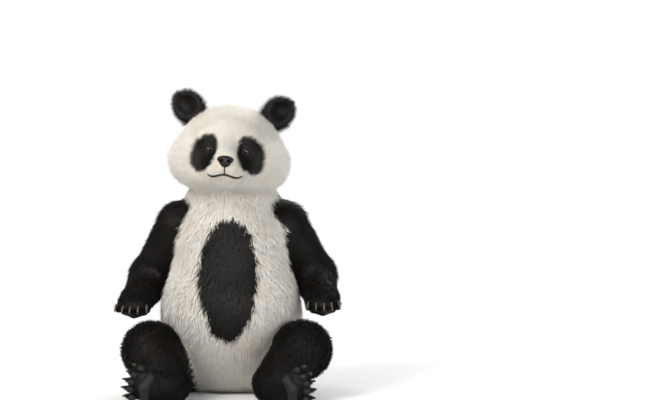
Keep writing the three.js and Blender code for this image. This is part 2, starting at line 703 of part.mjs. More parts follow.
for (const [name, arm] of Object.entries(arms)) {
  const box = boxRound(...BOX.leftArm.map((p) => flipped(p, arm.sign)), 0);
  const raw = surfaceOf(wholeForm, ...box, STEP.arm).intersect(armBlock(arm.sign, 0));
  const wristNormal = minus(arm.pawEnd, arm.elbow);
  const [beyond, upper] = parted(raw, arm.elbow, minus(arm.wrist, arm.shoulder));
  const [, forearm] = parted(beyond, arm.wrist, wristNormal);
  const pawRaw = surfaceOf(arm.form, ...boxRound(arm.wrist, arm.pawEnd, ROUND_PART), STEP.paw);
  const [paw] = parted(pawRaw, arm.wrist, wristNormal);
  node(`upper_arm_${name}`, "blackCoat", upper);
  node(`forearm_${name}`, "blackCoat", forearm);
  node(`forepaw_${name}`, "blackCoat", withToes(paw, FOREPAW, arm.frame));
}

for (const [name, leg] of Object.entries(legs)) {
  const box = boxRound(...BOX.leftLeg.map((p) => flipped(p, leg.sign)), 0);
  const raw = largest(onFloor(surfaceOf(leg.form, ...box, STEP.leg)).subtract(trunkSwollen));
  const thighward = unit(minus(leg.knee, leg.hip));
  const shankward = unit(minus(leg.ankle, leg.knee));
  const footward = unit(minus(leg.toes, leg.heel));
  const [beyond, thigh] = parted(raw, leg.knee, plus(thighward, shankward));
  const [, shank] = parted(beyond, leg.ankle, plus(shankward, footward));
  const footRaw = surfaceOf(leg.form, ...boxRound(leg.heel, leg.toes, ROUND_PART), STEP.paw);
  const [foot] = parted(footRaw, leg.ankle, plus(shankward, footward));
  node(`thigh_${name}`, "blackCoat", thigh);
  node(`shank_${name}`, "blackCoat", shank);
  node(`hindfoot_${name}`, "blackCoat", onFloor(withToes(foot, HINDPAW, leg.frame)));
}

export default panda;
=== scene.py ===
# %% [markdown]
# # A sitting giant panda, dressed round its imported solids
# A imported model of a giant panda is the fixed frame: it says where the head, the paws and the rump are.
# This lesson grows a skin a little below that frame's surface, roots a dense coat of small solid tufts in the
# skin, and adds the bare things of a bear: eyes, nose leather, lips, pads and claws.
#
# All lengths in the tables are in millimetres, and points become metres when a table is read.

# %% Load the fixed frame
import math

import bpy
import numpy as np
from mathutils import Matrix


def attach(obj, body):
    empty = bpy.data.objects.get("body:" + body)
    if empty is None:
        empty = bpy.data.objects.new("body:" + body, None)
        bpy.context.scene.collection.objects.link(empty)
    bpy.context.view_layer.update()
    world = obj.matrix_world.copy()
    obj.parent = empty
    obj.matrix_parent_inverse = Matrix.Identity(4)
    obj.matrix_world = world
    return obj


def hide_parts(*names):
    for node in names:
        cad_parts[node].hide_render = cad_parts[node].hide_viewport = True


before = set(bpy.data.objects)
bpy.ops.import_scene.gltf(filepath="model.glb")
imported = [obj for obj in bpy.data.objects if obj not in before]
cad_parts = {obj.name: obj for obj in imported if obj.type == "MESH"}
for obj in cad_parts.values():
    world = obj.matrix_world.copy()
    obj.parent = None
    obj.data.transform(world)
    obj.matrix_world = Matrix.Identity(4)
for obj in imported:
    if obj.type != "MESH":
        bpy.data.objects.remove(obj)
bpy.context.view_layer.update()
MM = 0.001
print("frame nodes:", len(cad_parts))

# %% [markdown]
# ## The masses of the body
# A bear's body is a few soft masses that run into each other. Each mass is an ellipsoid, or a bar between two
# points, and each row of these tables also says how deep the coat is there. The same sizes made the frame, so
# the dressed animal lands on it.

# %% Sizes of the trunk and the head
TRUNK_BLEND = 70
TRUNK = [
    ("ball", (0, 45, 178), (258, 232, 202)),
    ("ball", (0, -25, 300), (256, 236, 232)),
    ("ball", (0, 24, 494), (224, 212, 224)),
    ("ball", (0, 76, 628), (198, 154, 126)),
    ("bar", (0, 36, 668), 160, (0, -28, 800), 148),
]
HEAD_AT = (0, -80, 862)
HEAD_SCALE, HEAD_ROLL, HEAD_NOD = 1.06, 4, 3
HEAD_BLEND, NECK_BLEND = 34, 38
HEAD = [
    ("ball", (0, 20, 24), (166, 150, 130)),
    ("ball", (0, -62, 50), (114, 80, 82)),
    ("pair", (94, -22, -32), (108, 108, 98)),
    ("pair", (56, -62, -76), (80, 84, 58)),
    ("pair", (54, -108, 42), (42, 34, 28)),
]
MUZZLE_BLEND = 26
MUZZLE = [
    ("bar", (0, -104, -32), 68, (0, -186, -44), 47),
    ("bar", (0, -92, 22), 42, (0, -200, -16), 27),
    ("pair", (25, -190, -62), (35, 42, 32)),
    ("ball", (0, -160, -92), (40, 52, 25)),
]
EAR_AT, EAR_SPLAY, EAR_TOE, EAR_BLEND = (125, 18, 111), 42, 8, 10
EAR_SHELL = ("ball", (0, 0, 34), (55, 27, 66))
EAR_HOLLOW = ("ball", (0, -26, 46), (34, 25, 41))
TAIL = ("bar", (0, 204, 120), 72, (0, 296, 52), 46)

# %% Sizes of the limbs, with X outwards from the middle
LIMBS = {
    "left": dict(
        sign=1,
        shoulder=(182, 35, 598), elbow=(296, 84, 414), wrist=(323, -52, 354), paw_end=(332, -176, 322),
        hip=(118, 20, 112), knee=(258, -196, 170), heel=(142, -402, 54), toes=(292, -464, 92),
    ),
    "right": dict(
        sign=-1,
        shoulder=(182, 35, 598), elbow=(297, 88, 410), wrist=(328, -44, 347), paw_end=(342, -166, 311),
        hip=(118, 20, 112), knee=(268, -186, 166), heel=(166, -398, 54), toes=(318, -454, 98),
    ),
}
BONES = {
    "upper_arm": ("shoulder", "elbow"), "forearm": ("elbow", "wrist"), "forepaw": ("wrist", "paw_end"),
    "thigh": ("hip", "knee"), "shank": ("knee", "ankle"), "hindpaw": ("heel", "toes"),
}
RADII = dict(shoulder=96, elbow=80, wrist=65, hip=120, knee=98, ankle=76)
ANKLE_FROM_HEEL = 46
# sole is the way that a sole faces, claw a claw's length and half width, and pad_out the share of the paw's
# depth at which its broad pad lies.
PAWS = {
    "forepaw": dict(
        half=(72, 67, 42), toe=(31, 17, 22), toe_x=51, sole=(0, 0.15, -1), claw=(31, 7.0), pad_out=0.7
    ),
    "hindpaw": dict(
        half=(90, 67, 46), toe=(31, 17, 23), toe_x=66, sole=(0, -1, -0.1), claw=(24, 6.6), pad_out=0.86
    ),
}
TOES, TOE_APART, TOE_BACK, TOE_FAN = 5, 25, 4.5, 5
ARM_BLEND, LEG_BLEND = 36, 34
SOLE_BLEND, TOE_BLEND = 12, 9

# %% [markdown]
# ## Distances
# A mass is written as a distance: less than zero inside, zero on its surface, and more than zero outside. Two
# masses that flow into each other take the smaller of their distances, rounded off where they cross. That is
# quicker than joining meshes, and the skin's depth is one more number to add.

# %% Distance functions for whole arrays of points
def to_m(values):
    """Millimetres to metres, as an array."""
    return np.asarray(values, np.float32) * MM


def ball(p, at, half):
    """k (k - 1) / m, where k is the length of q/half, m the length of q/half squared, and q = p - at."""
    q, half = p - to_m(at), to_m(half)
    k = np.linalg.norm(q / half, axis=-1)
    m = np.linalg.norm(q / half**2, axis=-1)
    return k * (k - 1) / np.maximum(m, 1e-6)


def bar(p, a, radius_a, b, radius_b):
    """Distance to the nearest point of the line from a to b, less the radius there, which runs evenly."""
    a, b = to_m(a), to_m(b)
    ab = b - a
    t = np.clip((p - a) @ ab / (ab @ ab), 0, 1)
    return np.linalg.norm(p - a - t[..., None] * ab, axis=-1) - (radius_a + t * (radius_b - radius_a)) * MM


def soft_min(a, b, width):
    """The smaller of a and b, less h² width / 4. h is 1 where they are equal and 0 from width apart."""
    width = width * MM
    h = np.maximum(width - np.abs(a - b), 0) / width
    return np.minimum(a, b) - h * h * width / 4


def folded(p):
    """The same points with |x| for x, for things that stand on both sides of the middle plane."""
    q = p.copy()
    q[..., 0] = np.abs(q[..., 0])
    return q


def masses(p, rows, width):
    """Every row of a table as a distance, softly joined. A pair stands on both sides of the middle plane."""
    total = None
    for kind, *sizes in rows:
        if kind == "bar":
            d = bar(p, *sizes)
        else:
            d = ball(folded(p) if kind == "pair" else p, *sizes)
        total = d if total is None else soft_min(total, d, width)
    return total


# %% Frames that a part of the body is given in
def turn(rx, ry, rz):
    """Rx · Ry · Rz from angles in degrees."""
    (cx, sx), (cy, sy), (cz, sz) = ((math.cos(a), math.sin(a)) for a in map(math.radians, (rx, ry, rz)))
    return (
        np.array([[1, 0, 0], [0, cx, -sx], [0, sx, cx]])
        @ np.array([[cy, 0, sy], [0, 1, 0], [-sy, 0, cy]])
        @ np.array([[cz, -sz, 0], [sz, cz, 0], [0, 0, 1]])
    )


def placed(at, matrix=np.eye(3)):
    """A frame as a 4 x 4 matrix, with its origin at a point in millimetres."""
    made = np.eye(4)
    made[:3, :3], made[:3, 3] = matrix, np.asarray(at, float) * MM
    return made


def into(made, p):
    """World points in a frame's own coordinates."""
    inverse = np.linalg.inv(made).astype(np.float32)
    return p @ inverse[:3, :3].T + inverse[:3, 3]


def out_of(made, p):
    """Points of a frame in world coordinates."""
    return np.asarray(p) @ made[:3, :3].T + made[:3, 3]


def unit(v):
    """v over its length."""
    return v / np.maximum(np.linalg.norm(v, axis=-1, keepdims=True), 1e-9)


head_frame = placed(HEAD_AT, turn(HEAD_NOD, HEAD_ROLL, 0) * HEAD_SCALE)


def ear_frame(sign):
    """An ear's root, with Z to its tip and the cup on -Y. sign is 1 on the left and -1 on the right."""
    at = (sign * EAR_AT[0], EAR_AT[1], EAR_AT[2])
    return head_frame @ placed(at, turn(0, sign * EAR_SPLAY, sign * EAR_TOE))


def paw_frame(root, tip, sole):
    """X from root to tip, Z out of the sole, Y across, and the origin halfway."""
    root, tip, sole = (np.asarray(v, float) for v in (root, tip, sole))
    along = unit(tip - root)
    out = unit(sole - along * (sole @ along))
    return placed((root + tip) / 2, np.stack([along, np.cross(out, along), out], axis=1))


def toe_frame(paw, n):
    """Toe n in its paw's frame: k steps from the middle toe, set back by k² and fanned out by k."""
    k = n - (TOES - 1) / 2
    return placed((paw["toe_x"] - TOE_BACK * k * k, k * TOE_APART, 4), turn(0, 0, k * TOE_FAN))


# %% The joints of each limb in the world
for side in LIMBS.values():
    for joint in ("shoulder", "elbow", "wrist", "paw_end", "hip", "knee", "heel", "toes"):
        side[joint] = np.array(side[joint], float) * (side["sign"], 1, 1)
    side["ankle"] = side["heel"] + ANKLE_FROM_HEEL * unit(side["knee"] - side["heel"])
    for kind, paw in PAWS.items():
        start, end = BONES[kind]
        side[kind + "_frame"] = paw_frame(side[start], side[end], paw["sole"])

# %% [markdown]
# ## One distance for each part
# The coat differs from part to part: long and shaggy on the trunk, close on the muzzle, and short on the
# toes. So every part keeps a distance of its own. Near a point the parts are weighed by these distances, and
# the coat's depth, length and lie are the weighed means.

# %% Distances of the parts
def paw_distance(p, paw, made):
    """A ball for the palm, a low one on the sole and one for each toe, softly joined."""
    q = into(made, p)
    length, width, depth = paw["half"]
    palm = ball(q, (-length * 0.14, 0, 0), paw["half"])
    sole = ball(q, (0, 0, depth * 0.72), (length * 0.4, width * 0.76, depth * 0.4))
    d = soft_min(palm, sole, SOLE_BLEND)
    for n in range(TOES):
        d = soft_min(d, ball(into(toe_frame(paw, n), q), (0, 0, 0), paw["toe"]), TOE_BLEND)
    return d


def ear_distance(p, sign):
    """The ear's ball less the ball of its cup, by a soft maximum of one and minus the other."""
    q = into(ear_frame(sign), p)
    shell, hollow = ball(q, *EAR_SHELL[1:]), ball(q, *EAR_HOLLOW[1:])
    return -soft_min(-shell, hollow, EAR_BLEND) * HEAD_SCALE


def part_distances(p):
    """The distance of every part of the coat's outer surface, by name."""
    q = into(head_frame, p)
    d = {
        "trunk": masses(p, TRUNK, TRUNK_BLEND),
        "head": masses(q, HEAD, HEAD_BLEND) * HEAD_SCALE,
        "muzzle": masses(q, MUZZLE, MUZZLE_BLEND) * HEAD_SCALE,
        "ear_left": ear_distance(p, 1),
        "ear_right": ear_distance(p, -1),
        "tail": bar(p, *TAIL[1:]),
    }
    for name, s in LIMBS.items():
        for part, (a, b) in BONES.items():
            if part in PAWS:
                d[f"{part}_{name}"] = paw_distance(p, PAWS[part], s[part + "_frame"])
            else:
                d[f"{part}_{name}"] = bar(p, s[a], RADII[a], s[b], RADII[b])
    return d


# %% Eyes, nose and mouth on the surface of the head
EYE = dict(at=(61, 6), radius=12.5, proud=2.5, outward=24, opening=(10.4, 7.9))
NOSE_BLEND = 8
NOSE = [("ball", (0, -226, -21), (27, 19, 13)), ("ball", (0, -225, -31), (18, 19, 16))]
MOUTH = dict(middle=(0, -128, -74), half_angle=45, wave=4.2)


def skull(q):
    """Distance of the whole head's coat, in the head's own frame and in millimetres."""
    q = np.asarray(q, np.float32) * MM
    return soft_min(masses(q, HEAD, HEAD_BLEND), masses(q, MUZZLE, MUZZLE_BLEND), HEAD_BLEND) / MM


def surface_from(inside, way, reach=400):
    """Where the head's surface lies from inside points along given ways, in mm, by halving 30 times."""
    inside, way = np.atleast_2d(np.asarray(inside, float)), np.atleast_2d(np.asarray(way, float))
    near, far = np.zeros(len(way)), np.full(len(way), float(reach))
    for _ in range(30):
        middle = (near + far) / 2
        within = skull(inside + way * middle[:, None]) < 0
        near, far = np.where(within, middle, near), np.where(within, far, middle)
    return inside + way * near[:, None]


def eye_frame(sign):
    """An eyeball's middle, set back from the surface that it looks out of, with -Y to the front."""
    surface_at = surface_from((sign * EYE["at"][0], -60, EYE["at"][1]), (0, -1, 0))[0]
    middle = surface_at + (0, EYE["radius"] - EYE["proud"], 0)
    return head_frame @ placed(middle, turn(0, 0, sign * EYE["outward"]))


EYE_FRAMES = {sign: eye_frame(sign) for sign in (1, -1)}
mouth_share = np.linspace(-1, 1, 33)
angles = np.radians(MOUTH["half_angle"]) * mouth_share
lift = MOUTH["wave"] * np.cos(2 * np.pi * mouth_share)
mouth_from = np.array(MOUTH["middle"]) + np.stack([0 * lift, 0 * lift, lift], -1)
mouth_line = surface_from(mouth_from, np.stack([np.sin(angles), -np.cos(angles), 0 * angles], -1))
print("mouth from", mouth_line[0].round(), "to", mouth_line[-1].round())
print("eyes at", *(made[:3, 3].round(3) for made in EYE_FRAMES.values()))

# %% [markdown]
# ## The coat's table
# Depth is how far the skin lies below the coat's outer reach. A tuft leaves the skin at the first angle and
# ends at the second, so its height is length times the mean of their sines, which comes to about the depth.

# %% The coat of each part
# depth, tuft length and tuft width in millimetres, and the angles at the root and at the tip in degrees
COAT = {
    "trunk": (26, 44, 3.0, 50, 20),
    "head": (19, 38, 2.6, 50, 24),
    "muzzle": (5, 11, 1.6, 38, 12),
    "ear": (8, 20, 2.2, 50, 35),
    "tail": (22, 50, 3.0, 40, 10),
    "upper_arm": (23, 42, 3.0, 48, 16),
    "forearm": (20, 36, 2.9, 46, 14),
    "forepaw": (11, 16, 2.2, 40, 10),
    "thigh": (23, 42, 3.0, 48, 16),
    "shank": (20, 36, 2.9, 46, 14),
    "hindpaw": (10, 14, 2.1, 40, 10),
}
FACE_LESS = 13  # how much shallower the coat is on the front of the face than on the rest of the head
FACE_FRONT = 50, 86  # where that begins, forward of the head's middle, and over what length it comes in full
EYE_RISE = 4.2  # how much the skin rises round an eye
EAR_ROOT_BLEND, PAW_BLEND, TAIL_BLEND = 14, 30, 30
FLAT_ABOVE_FLOOR = 4


def of_part(table, part):
    """A part's entry in a table, where left and right share one."""
    return table[part.removesuffix("_left").removesuffix("_right")]


def depth_of(part):
    """How deep a part's coat is, in metres."""
    return of_part(COAT, part)[0] * MM


def rising(value, start, run):
    """0 up to start, 1 from start + run on, and even in between."""
    return np.clip((value - start) / run, 0, 1)


def face_share(q):
    """1 on the front of the face, and 0 from the cheeks and crown back, for points in the head's frame:
    t² (3 - 2 t), where t rises along -Y."""
    t = rising(-q[..., 1] / MM, *FACE_FRONT)
    return t * t * (3 - 2 * t)


EYE_MIDDLES = [into(head_frame, made[:3, 3]) for made in EYE_FRAMES.values()]


def round_eyes(q, reach=24):
    """exp(-(distance to the nearer eyeball's middle / reach)²), for points in the head's frame."""
    near = np.minimum(*(np.linalg.norm(q - e.astype(np.float32), axis=-1) for e in EYE_MIDDLES))
    return np.exp(-((near / (reach * MM)) ** 2))


def skin_distance(p):
    """All parts, each sunk by its coat's depth, softly joined, and level where they meet the floor."""
    d = part_distances(p)
    q = into(head_frame, p)
    sunk = {part: d[part] + depth_of(part) for part in d}
    head_depth = COAT["head"][0] - FACE_LESS * face_share(q) - EYE_RISE * round_eyes(q)
    sunk["head"] = d["head"] + head_depth * MM
    head = soft_min(sunk["head"], sunk["muzzle"], HEAD_BLEND)
    total = soft_min(sunk["trunk"], head, NECK_BLEND)
    for name in ("left", "right"):
        arm = soft_min(sunk["upper_arm_" + name], sunk["forearm_" + name], ARM_BLEND)
        arm = soft_min(arm, sunk["forepaw_" + name], PAW_BLEND)
        leg = soft_min(sunk["thigh_" + name], sunk["shank_" + name], LEG_BLEND)
        leg = soft_min(leg, sunk["hindpaw_" + name], PAW_BLEND)
        total = soft_min(total, arm, ARM_BLEND)
        total = soft_min(total, leg, LEG_BLEND)
        total = soft_min(total, sunk["ear_" + name], EAR_ROOT_BLEND)
    total = soft_min(total, sunk["tail"], TAIL_BLEND)
    return np.maximum(total, FLAT_ABOVE_FLOOR * MM - p[..., 2])


# %% [markdown]
# ## From distance to skin
# The skin is where that distance is zero. A grid is laid through the space, close together round the head and
# the feet and wider elsewhere. Every grid cell that the surface crosses gets one point, and every grid edge
# that it crosses gets one four-sided face between the cells round it. Most of the space is far from the
# surface, so a coarse pass finds the blocks that matter and only those are worked out in full.

# %% Grid lines that are closer together between two places
def grid_lines(low, high, step, fine=()):
    """Places from low to high, a step apart, with each (from, to, finer step) stretch closer together."""
    places, at = [], low
    while at < high:
        places.append(at)
        at += min([s for a, b, s in fine if a <= at < b] + [step])
    return np.array(places + [at], np.float32) * MM


REACH_OF_BLOCK = 0.75  # a block with a corner nearer than this share of its diagonal is worked out in full


def sampled(field, lines, block=4):
    """The field on the grid: exact in blocks near the surface, and the coarse pass's value elsewhere."""
    lines = [np.append(l, l[-1] + (np.arange((-(len(l) - 1)) % block) + 1) * (l[-1] - l[-2])) for l in lines]
    coarse = [l[::block] for l in lines]
    grid = np.stack(np.meshgrid(*coarse, indexing="ij"), -1).astype(np.float32)
    rough = field(grid.reshape(-1, 3)).reshape(grid.shape[:3])
    size = np.sqrt(sum(d**2 for d in np.meshgrid(*[np.diff(c) for c in coarse], indexing="ij")))
    nearest = np.full(size.shape, np.inf, np.float32)
    for shift in np.ndindex(2, 2, 2):
        corner = rough[tuple(slice(i, i + n) for i, n in zip(shift, size.shape))]
        nearest = np.minimum(nearest, np.abs(corner))
    near = nearest < size * REACH_OF_BLOCK
    value = rough[:-1, :-1, :-1]
    for axis in range(3):
        value = np.repeat(value, block, axis=axis)
    value = value.copy()
    bi, bj, bk = np.nonzero(near)
    offset = np.stack(np.meshgrid(*[np.arange(block)] * 3, indexing="ij"), -1).reshape(-1, 3)
    index = (np.stack([bi, bj, bk], -1)[:, None] * block + offset[None]).reshape(-1, 3)
    points = np.stack([lines[k][index[:, k]] for k in range(3)], -1).astype(np.float32)
    done = np.concatenate([field(chunk) for chunk in np.array_split(points, max(1, len(points) // 400000))])
    value[index[:, 0], index[:, 1], index[:, 2]] = done
    for axis in range(3):
        edge = [slice(None)] * 3
        for end in (0, -1):
            edge[axis] = end
            value[tuple(edge)] = np.abs(value[tuple(edge)]) + 1e-4
    return value, [l[: value.shape[k]] for k, l in enumerate(lines)]


def settled(value, rounds=8):
    """Where the two signs face each other over both diagonals of a grid square, four faces would meet in one
    edge. There the corner nearest to zero changes its sign, and so on until no such square is left."""
    for _ in range(rounds):
        found = 0
        for axis in range(3):
            steps = [np.roll(step, axis + 1) for step in ((0, 0, 0), (1, 0, 0), (1, 1, 0), (0, 1, 0))]
            ends = [s - (a != axis) for a, s in enumerate(value.shape)]
            a, b, c, d = (value[tuple(slice(i, i + n) for i, n in zip(step, ends))] < 0 for step in steps)
            for at in np.argwhere((a == c) & (b == d) & (a != b)):
                weakest = min((tuple(at + step) for step in steps), key=lambda corner: abs(value[corner]))
                value[weakest] *= -1
                found += 1
        if not found:
            break
    return value


# %% The surface of a field as points and four-sided faces
LONGEST_STEP = 1.5 * MM


def surface(field, lines):
    """One point in each crossed cell: the mean of its edges' crossings, then moved on to the field's zero."""
    value, lines = sampled(field, lines)
    value = settled(value)
    inside = value < 0
    corners = list(np.ndindex(2, 2, 2))
    cells = [n - 1 for n in value.shape]
    count = sum(
        inside[tuple(slice(i, i + n) for i, n in zip(c, cells))].astype(np.int8) for c in corners
    )
    crossed = (count > 0) & (count < 8)
    cell = np.argwhere(crossed)
    number = np.full(crossed.shape, -1, np.int32)
    number[crossed] = np.arange(len(cell))
    at = {c: value[cell[:, 0] + c[0], cell[:, 1] + c[1], cell[:, 2] + c[2]] for c in corners}
    total, hits = np.zeros((len(cell), 3)), np.zeros(len(cell))
    for a in corners:
        for axis in range(3):
            if a[axis]:
                continue
            b = tuple(1 if k == axis else a[k] for k in range(3))
            hit = (at[a] < 0) != (at[b] < 0)
            t = np.where(hit, at[a] / np.where(hit, at[a] - at[b], 1), 0)
            place = np.tile(np.array(a, float), (len(cell), 1))
            place[:, axis] = t
            total += place * hit[:, None]
            hits += hit
    share = total / hits[:, None]
    near, far = (np.stack([lines[k][cell[:, k] + end] for k in range(3)], -1) for end in (0, 1))
    points = (near + share * (far - near)).astype(np.float32)
    for _ in range(2):
        slope = gradient(field, points)
        step = field(points)[:, None] * slope / np.maximum((slope**2).sum(-1, keepdims=True), 0.2)
        points -= np.clip(step, -LONGEST_STEP, LONGEST_STEP)
    faces = []
    for axis in range(3):
        u, v = (axis + 1) % 3, (axis + 2) % 3
        low, high = [slice(None)] * 3, [slice(None)] * 3
        low[axis], high[axis] = slice(0, -1), slice(1, None)
        for s in (low, high):
            s[u], s[v] = slice(1, -1), slice(1, -1)
        a, b = inside[tuple(low)], inside[tuple(high)]
        edge = np.argwhere(a != b)
        outward = a[tuple(edge.T)]
        edge[:, u] += 1
        edge[:, v] += 1
        ring = []
        for du, dv in ((1, 1), (0, 1), (0, 0), (1, 0)):
            c = edge.copy()
            c[:, u] -= du
            c[:, v] -= dv
            ring.append(number[tuple(c.T)])
        quad = np.stack(ring, -1)
        faces.append(np.where(outward[:, None], quad, quad[:, ::-1]))
    return points, np.concatenate(faces)


def gradient(field, p, h=0.6 * MM):
    """Central differences of the field, in metres per metre."""
    steps = np.eye(3, dtype=np.float32) * h
    return np.stack([(field(p + s) - field(p - s)) / (2 * h) for s in steps], -1)


# %% A mesh object from points and faces
def mesh_object(name, points, faces):
    """faces is one array of triangles or quads, or a list of such arrays."""
    mesh = bpy.data.meshes.new(name)
    blocks = faces if isinstance(faces, list) else [faces]
    loops = np.concatenate([b.ravel() for b in blocks]).astype(np.int32)
    sizes = np.concatenate([np.full(len(b), b.shape[1]) for b in blocks]).astype(np.int32)
    mesh.vertices.add(len(points))
    mesh.vertices.foreach_set("co", np.asarray(points, np.float32).ravel())
    mesh.loops.add(len(loops))
    mesh.loops.foreach_set("vertex_index", loops)
    mesh.polygons.add(len(sizes))
    mesh.polygons.foreach_set("loop_start", (np.cumsum(sizes) - sizes).astype(np.int32))
    mesh.polygons.foreach_set("loop_total", sizes)
    mesh.polygons.foreach_set("use_smooth", np.ones(len(sizes), bool))
    mesh.update(calc_edges=True)
    mesh.validate()
    thing = bpy.data.objects.new(name, mesh)
    bpy.context.scene.collection.objects.link(thing)
    return thing


# %% Reading and writing a mesh's values
def read(collection, name, width=1, kind=np.float32):
    """One row of width numbers for each item of a mesh's collection."""
    values = np.empty(len(collection) * width, kind)
    collection.foreach_get(name, values)
    return values.reshape(-1, width) if width > 1 else values


def give_values(thing, name, values):
    """A named attribute with one number for each point, which a material can read."""
    layer = thing.data.attributes.new(name, "FLOAT", "POINT")
    layer.data.foreach_set("value", np.asarray(values, np.float32))


def give_uv(thing, name, places):
    """A UV map with one place for each point."""
    corners = read(thing.data.loops, "vertex_index", 1, np.int32)
    layer = thing.data.uv_layers.new(name=name)
    layer.data.foreach_set("uv", places[corners].astype(np.float32).ravel())


# %% The skin's grid and its surface
skin_lines = [
    grid_lines(-520, 520, 9.5, [(-235, 235, 6)]),
    grid_lines(-520, 400, 9.5, [(-330, -60, 5)]),
    grid_lines(-10, 1100, 9.5, [(700, 1090, 5)]),
]
skin_points, skin_faces = surface(skin_distance, skin_lines)
print("skin:", [len(l) for l in skin_lines], len(skin_points), "points", 2 * len(skin_faces), "triangles")

# %% [markdown]
# ## Black and white
# A giant panda is white with black ears, eye patches, nose, legs and arms, and a black band over its
# shoulders. This one also has a black oval down its chest and belly. Each mark is a distance to its own edge,
# less than zero in the black, so the skin and every tuft can ask the same function. Real coats have no ruled
# edges, so the distance is bent by a slow noise before anything reads it.

# %% The marks as one distance
EYE_PATCH = dict(at=(72, -118, -7), half=(41, 46, 62), tilt=22)
BELLY_MARK = dict(at=(0, 432), half=(92, 205), front=-100)
BAND = dict(front=-40, side_bottom=478, rise=24)
NECK_FOOT = dict(point=(0, 20, 704), normal=(0, -0.3, 0.95))
ARM_CUT = dict(x=227, z=500, lean=10, bottom=270)
INNER_ARM_TOP = 520
EAR_EDGE, EAR_DEPTH = 3, 20  # an ear's black starts this far off the head, and goes this far in
ARM_DEPTH, ARM_OVERRUN, INNER_ARM_GAP = 14, 30, 8
LEG_DEPTH, LEG_EDGE = 8, 2
ARM_TO_BAND = 90  # how softly the arms' black runs into the band
SLOW_BEND, FINE_BEND, PATCH_BEND = (8, 95, 11), (4, 28, 12), (2.5, 30, 13)  # how far, how long, which draw
ARM_PARTS, LEG_PARTS = ("upper_arm", "forearm", "forepaw"), ("thigh", "shank", "hindpaw")


def waves(p, size, seed, count=7):
    """A smooth noise about zero: the mean of a few sine waves about size (mm) long, each in its own way."""
    rng = np.random.default_rng(seed)
    ways = unit(rng.normal(size=(count, 3))) * (2 * np.pi / (size * MM)) * rng.uniform(0.7, 1.5, (count, 1))
    phase = rng.uniform(0, 2 * np.pi, count)
    return np.sin(p @ ways.T.astype(np.float32) + phase).mean(-1) * np.sqrt(2 / count) * 1.9


def bend(p, far, size, seed):
    """Waves that are about far (mm) high."""
    return far * MM * waves(p, size, seed)


def oval(x, z, at, half):
    """Distance to the edge of an ellipse in the XZ plane: k (k - 1) / m, as for a ball."""
    u, v = x - at[0] * MM, z - at[1] * MM
    a, b = half[0] * MM, half[1] * MM
    k, m = np.hypot(u / a, v / b), np.hypot(u / a**2, v / b**2)
    return k * (k - 1) / np.maximum(m, 1e-6)


def mark_distance(p, d=None):
    """Metres to the nearest edge of a black mark: below zero in the black."""
    d = part_distances(p) if d is None else d
    q = into(head_frame, p)
    x, y, z = p[..., 0], p[..., 1], p[..., 2]
    on_face = folded(q)
    on_face[..., 1] = np.maximum(q[..., 1], EYE_PATCH["at"][1] * MM)
    patch_frame = placed(EYE_PATCH["at"], turn(0, -EYE_PATCH["tilt"], 0))
    patch = ball(into(patch_frame, on_face), (0, 0, 0), EYE_PATCH["half"])
    belly = np.maximum(oval(x, z, BELLY_MARK["at"], BELLY_MARK["half"]), y - BELLY_MARK["front"] * MM)
    ear = np.minimum(d["ear_left"], d["ear_right"])
    ear = np.maximum(ear - np.maximum(d["head"], 0) - EAR_EDGE * MM, ear - EAR_DEPTH * MM)
    lean = math.radians(ARM_CUT["lean"])
    beside = (np.abs(x) - ARM_CUT["x"] * MM) * math.cos(lean) + (z - ARM_CUT["z"] * MM) * math.sin(lean)
    arm, leg = (
        np.minimum.reduce([d[f"{part}_{side}"] for part in parts for side in LIMBS])
        for parts in (ARM_PARTS, LEG_PARTS)
    )
    inner = np.maximum(arm - d["trunk"] + INNER_ARM_GAP * MM, z - INNER_ARM_TOP * MM)
    arm = np.maximum(arm - ARM_DEPTH * MM, np.minimum(-beside, inner))
    arm = np.maximum(arm, ARM_CUT["bottom"] * MM - z - ARM_OVERRUN * MM)
    rise = math.radians(BAND["rise"])
    level = (z - BAND["side_bottom"] * MM) * math.cos(rise) - y * math.sin(rise)
    foot = (p - to_m(NECK_FOOT["point"])) @ unit(np.array(NECK_FOOT["normal"], np.float32))
    band = np.maximum(np.maximum(BAND["front"] * MM - y, -level), foot)
    leg = np.maximum(leg - LEG_DEPTH * MM, leg - np.minimum(d["trunk"], d["tail"]) - LEG_EDGE * MM)
    total = np.minimum.reduce([belly, soft_min(arm, band, ARM_TO_BAND), leg])
    total = total + bend(p, *SLOW_BEND) + bend(p, *FINE_BEND)
    return np.minimum.reduce([total, ear, patch + bend(p, *PATCH_BEND)])


def blackness(p, d=None, soft=2.5):
    """1 in the black and 0 in the white, with an edge a few millimetres wide."""
    return np.clip(0.5 - mark_distance(p, d) / (2 * soft * MM), 0, 1)


# %% [markdown]
# ## The skin as a piece
# The skin is one closed mesh. It is seen only between tufts, so its own finish can stay quiet, but it carries
# the marks in a colour attribute and has the unwrap that the coat borrows: Smart UV Project cuts it by its
# own shape into flat islands.

# %% Skin object, its marks and its unwrap
skin = mesh_object("skin", skin_points, skin_faces)


def unwrap(thing):
    """Smart UV Project into a map named OFBake."""
    thing.data.uv_layers.new(name="OFBake")
    bpy.context.view_layer.objects.active = thing
    for other in bpy.context.selected_objects:
        other.select_set(False)
    thing.select_set(True)
    bpy.ops.object.mode_set(mode="EDIT")
    bpy.ops.mesh.select_all(action="SELECT")
    bpy.ops.uv.smart_project(angle_limit=math.radians(66), island_margin=0.002)
    bpy.ops.object.mode_set(mode="OBJECT")
    thing.select_set(False)


give_values(skin, "mark", blackness(skin_points))
unwrap(skin)
print("skin unwrapped:", len(skin.data.uv_layers["OFBake"].data), "corners")

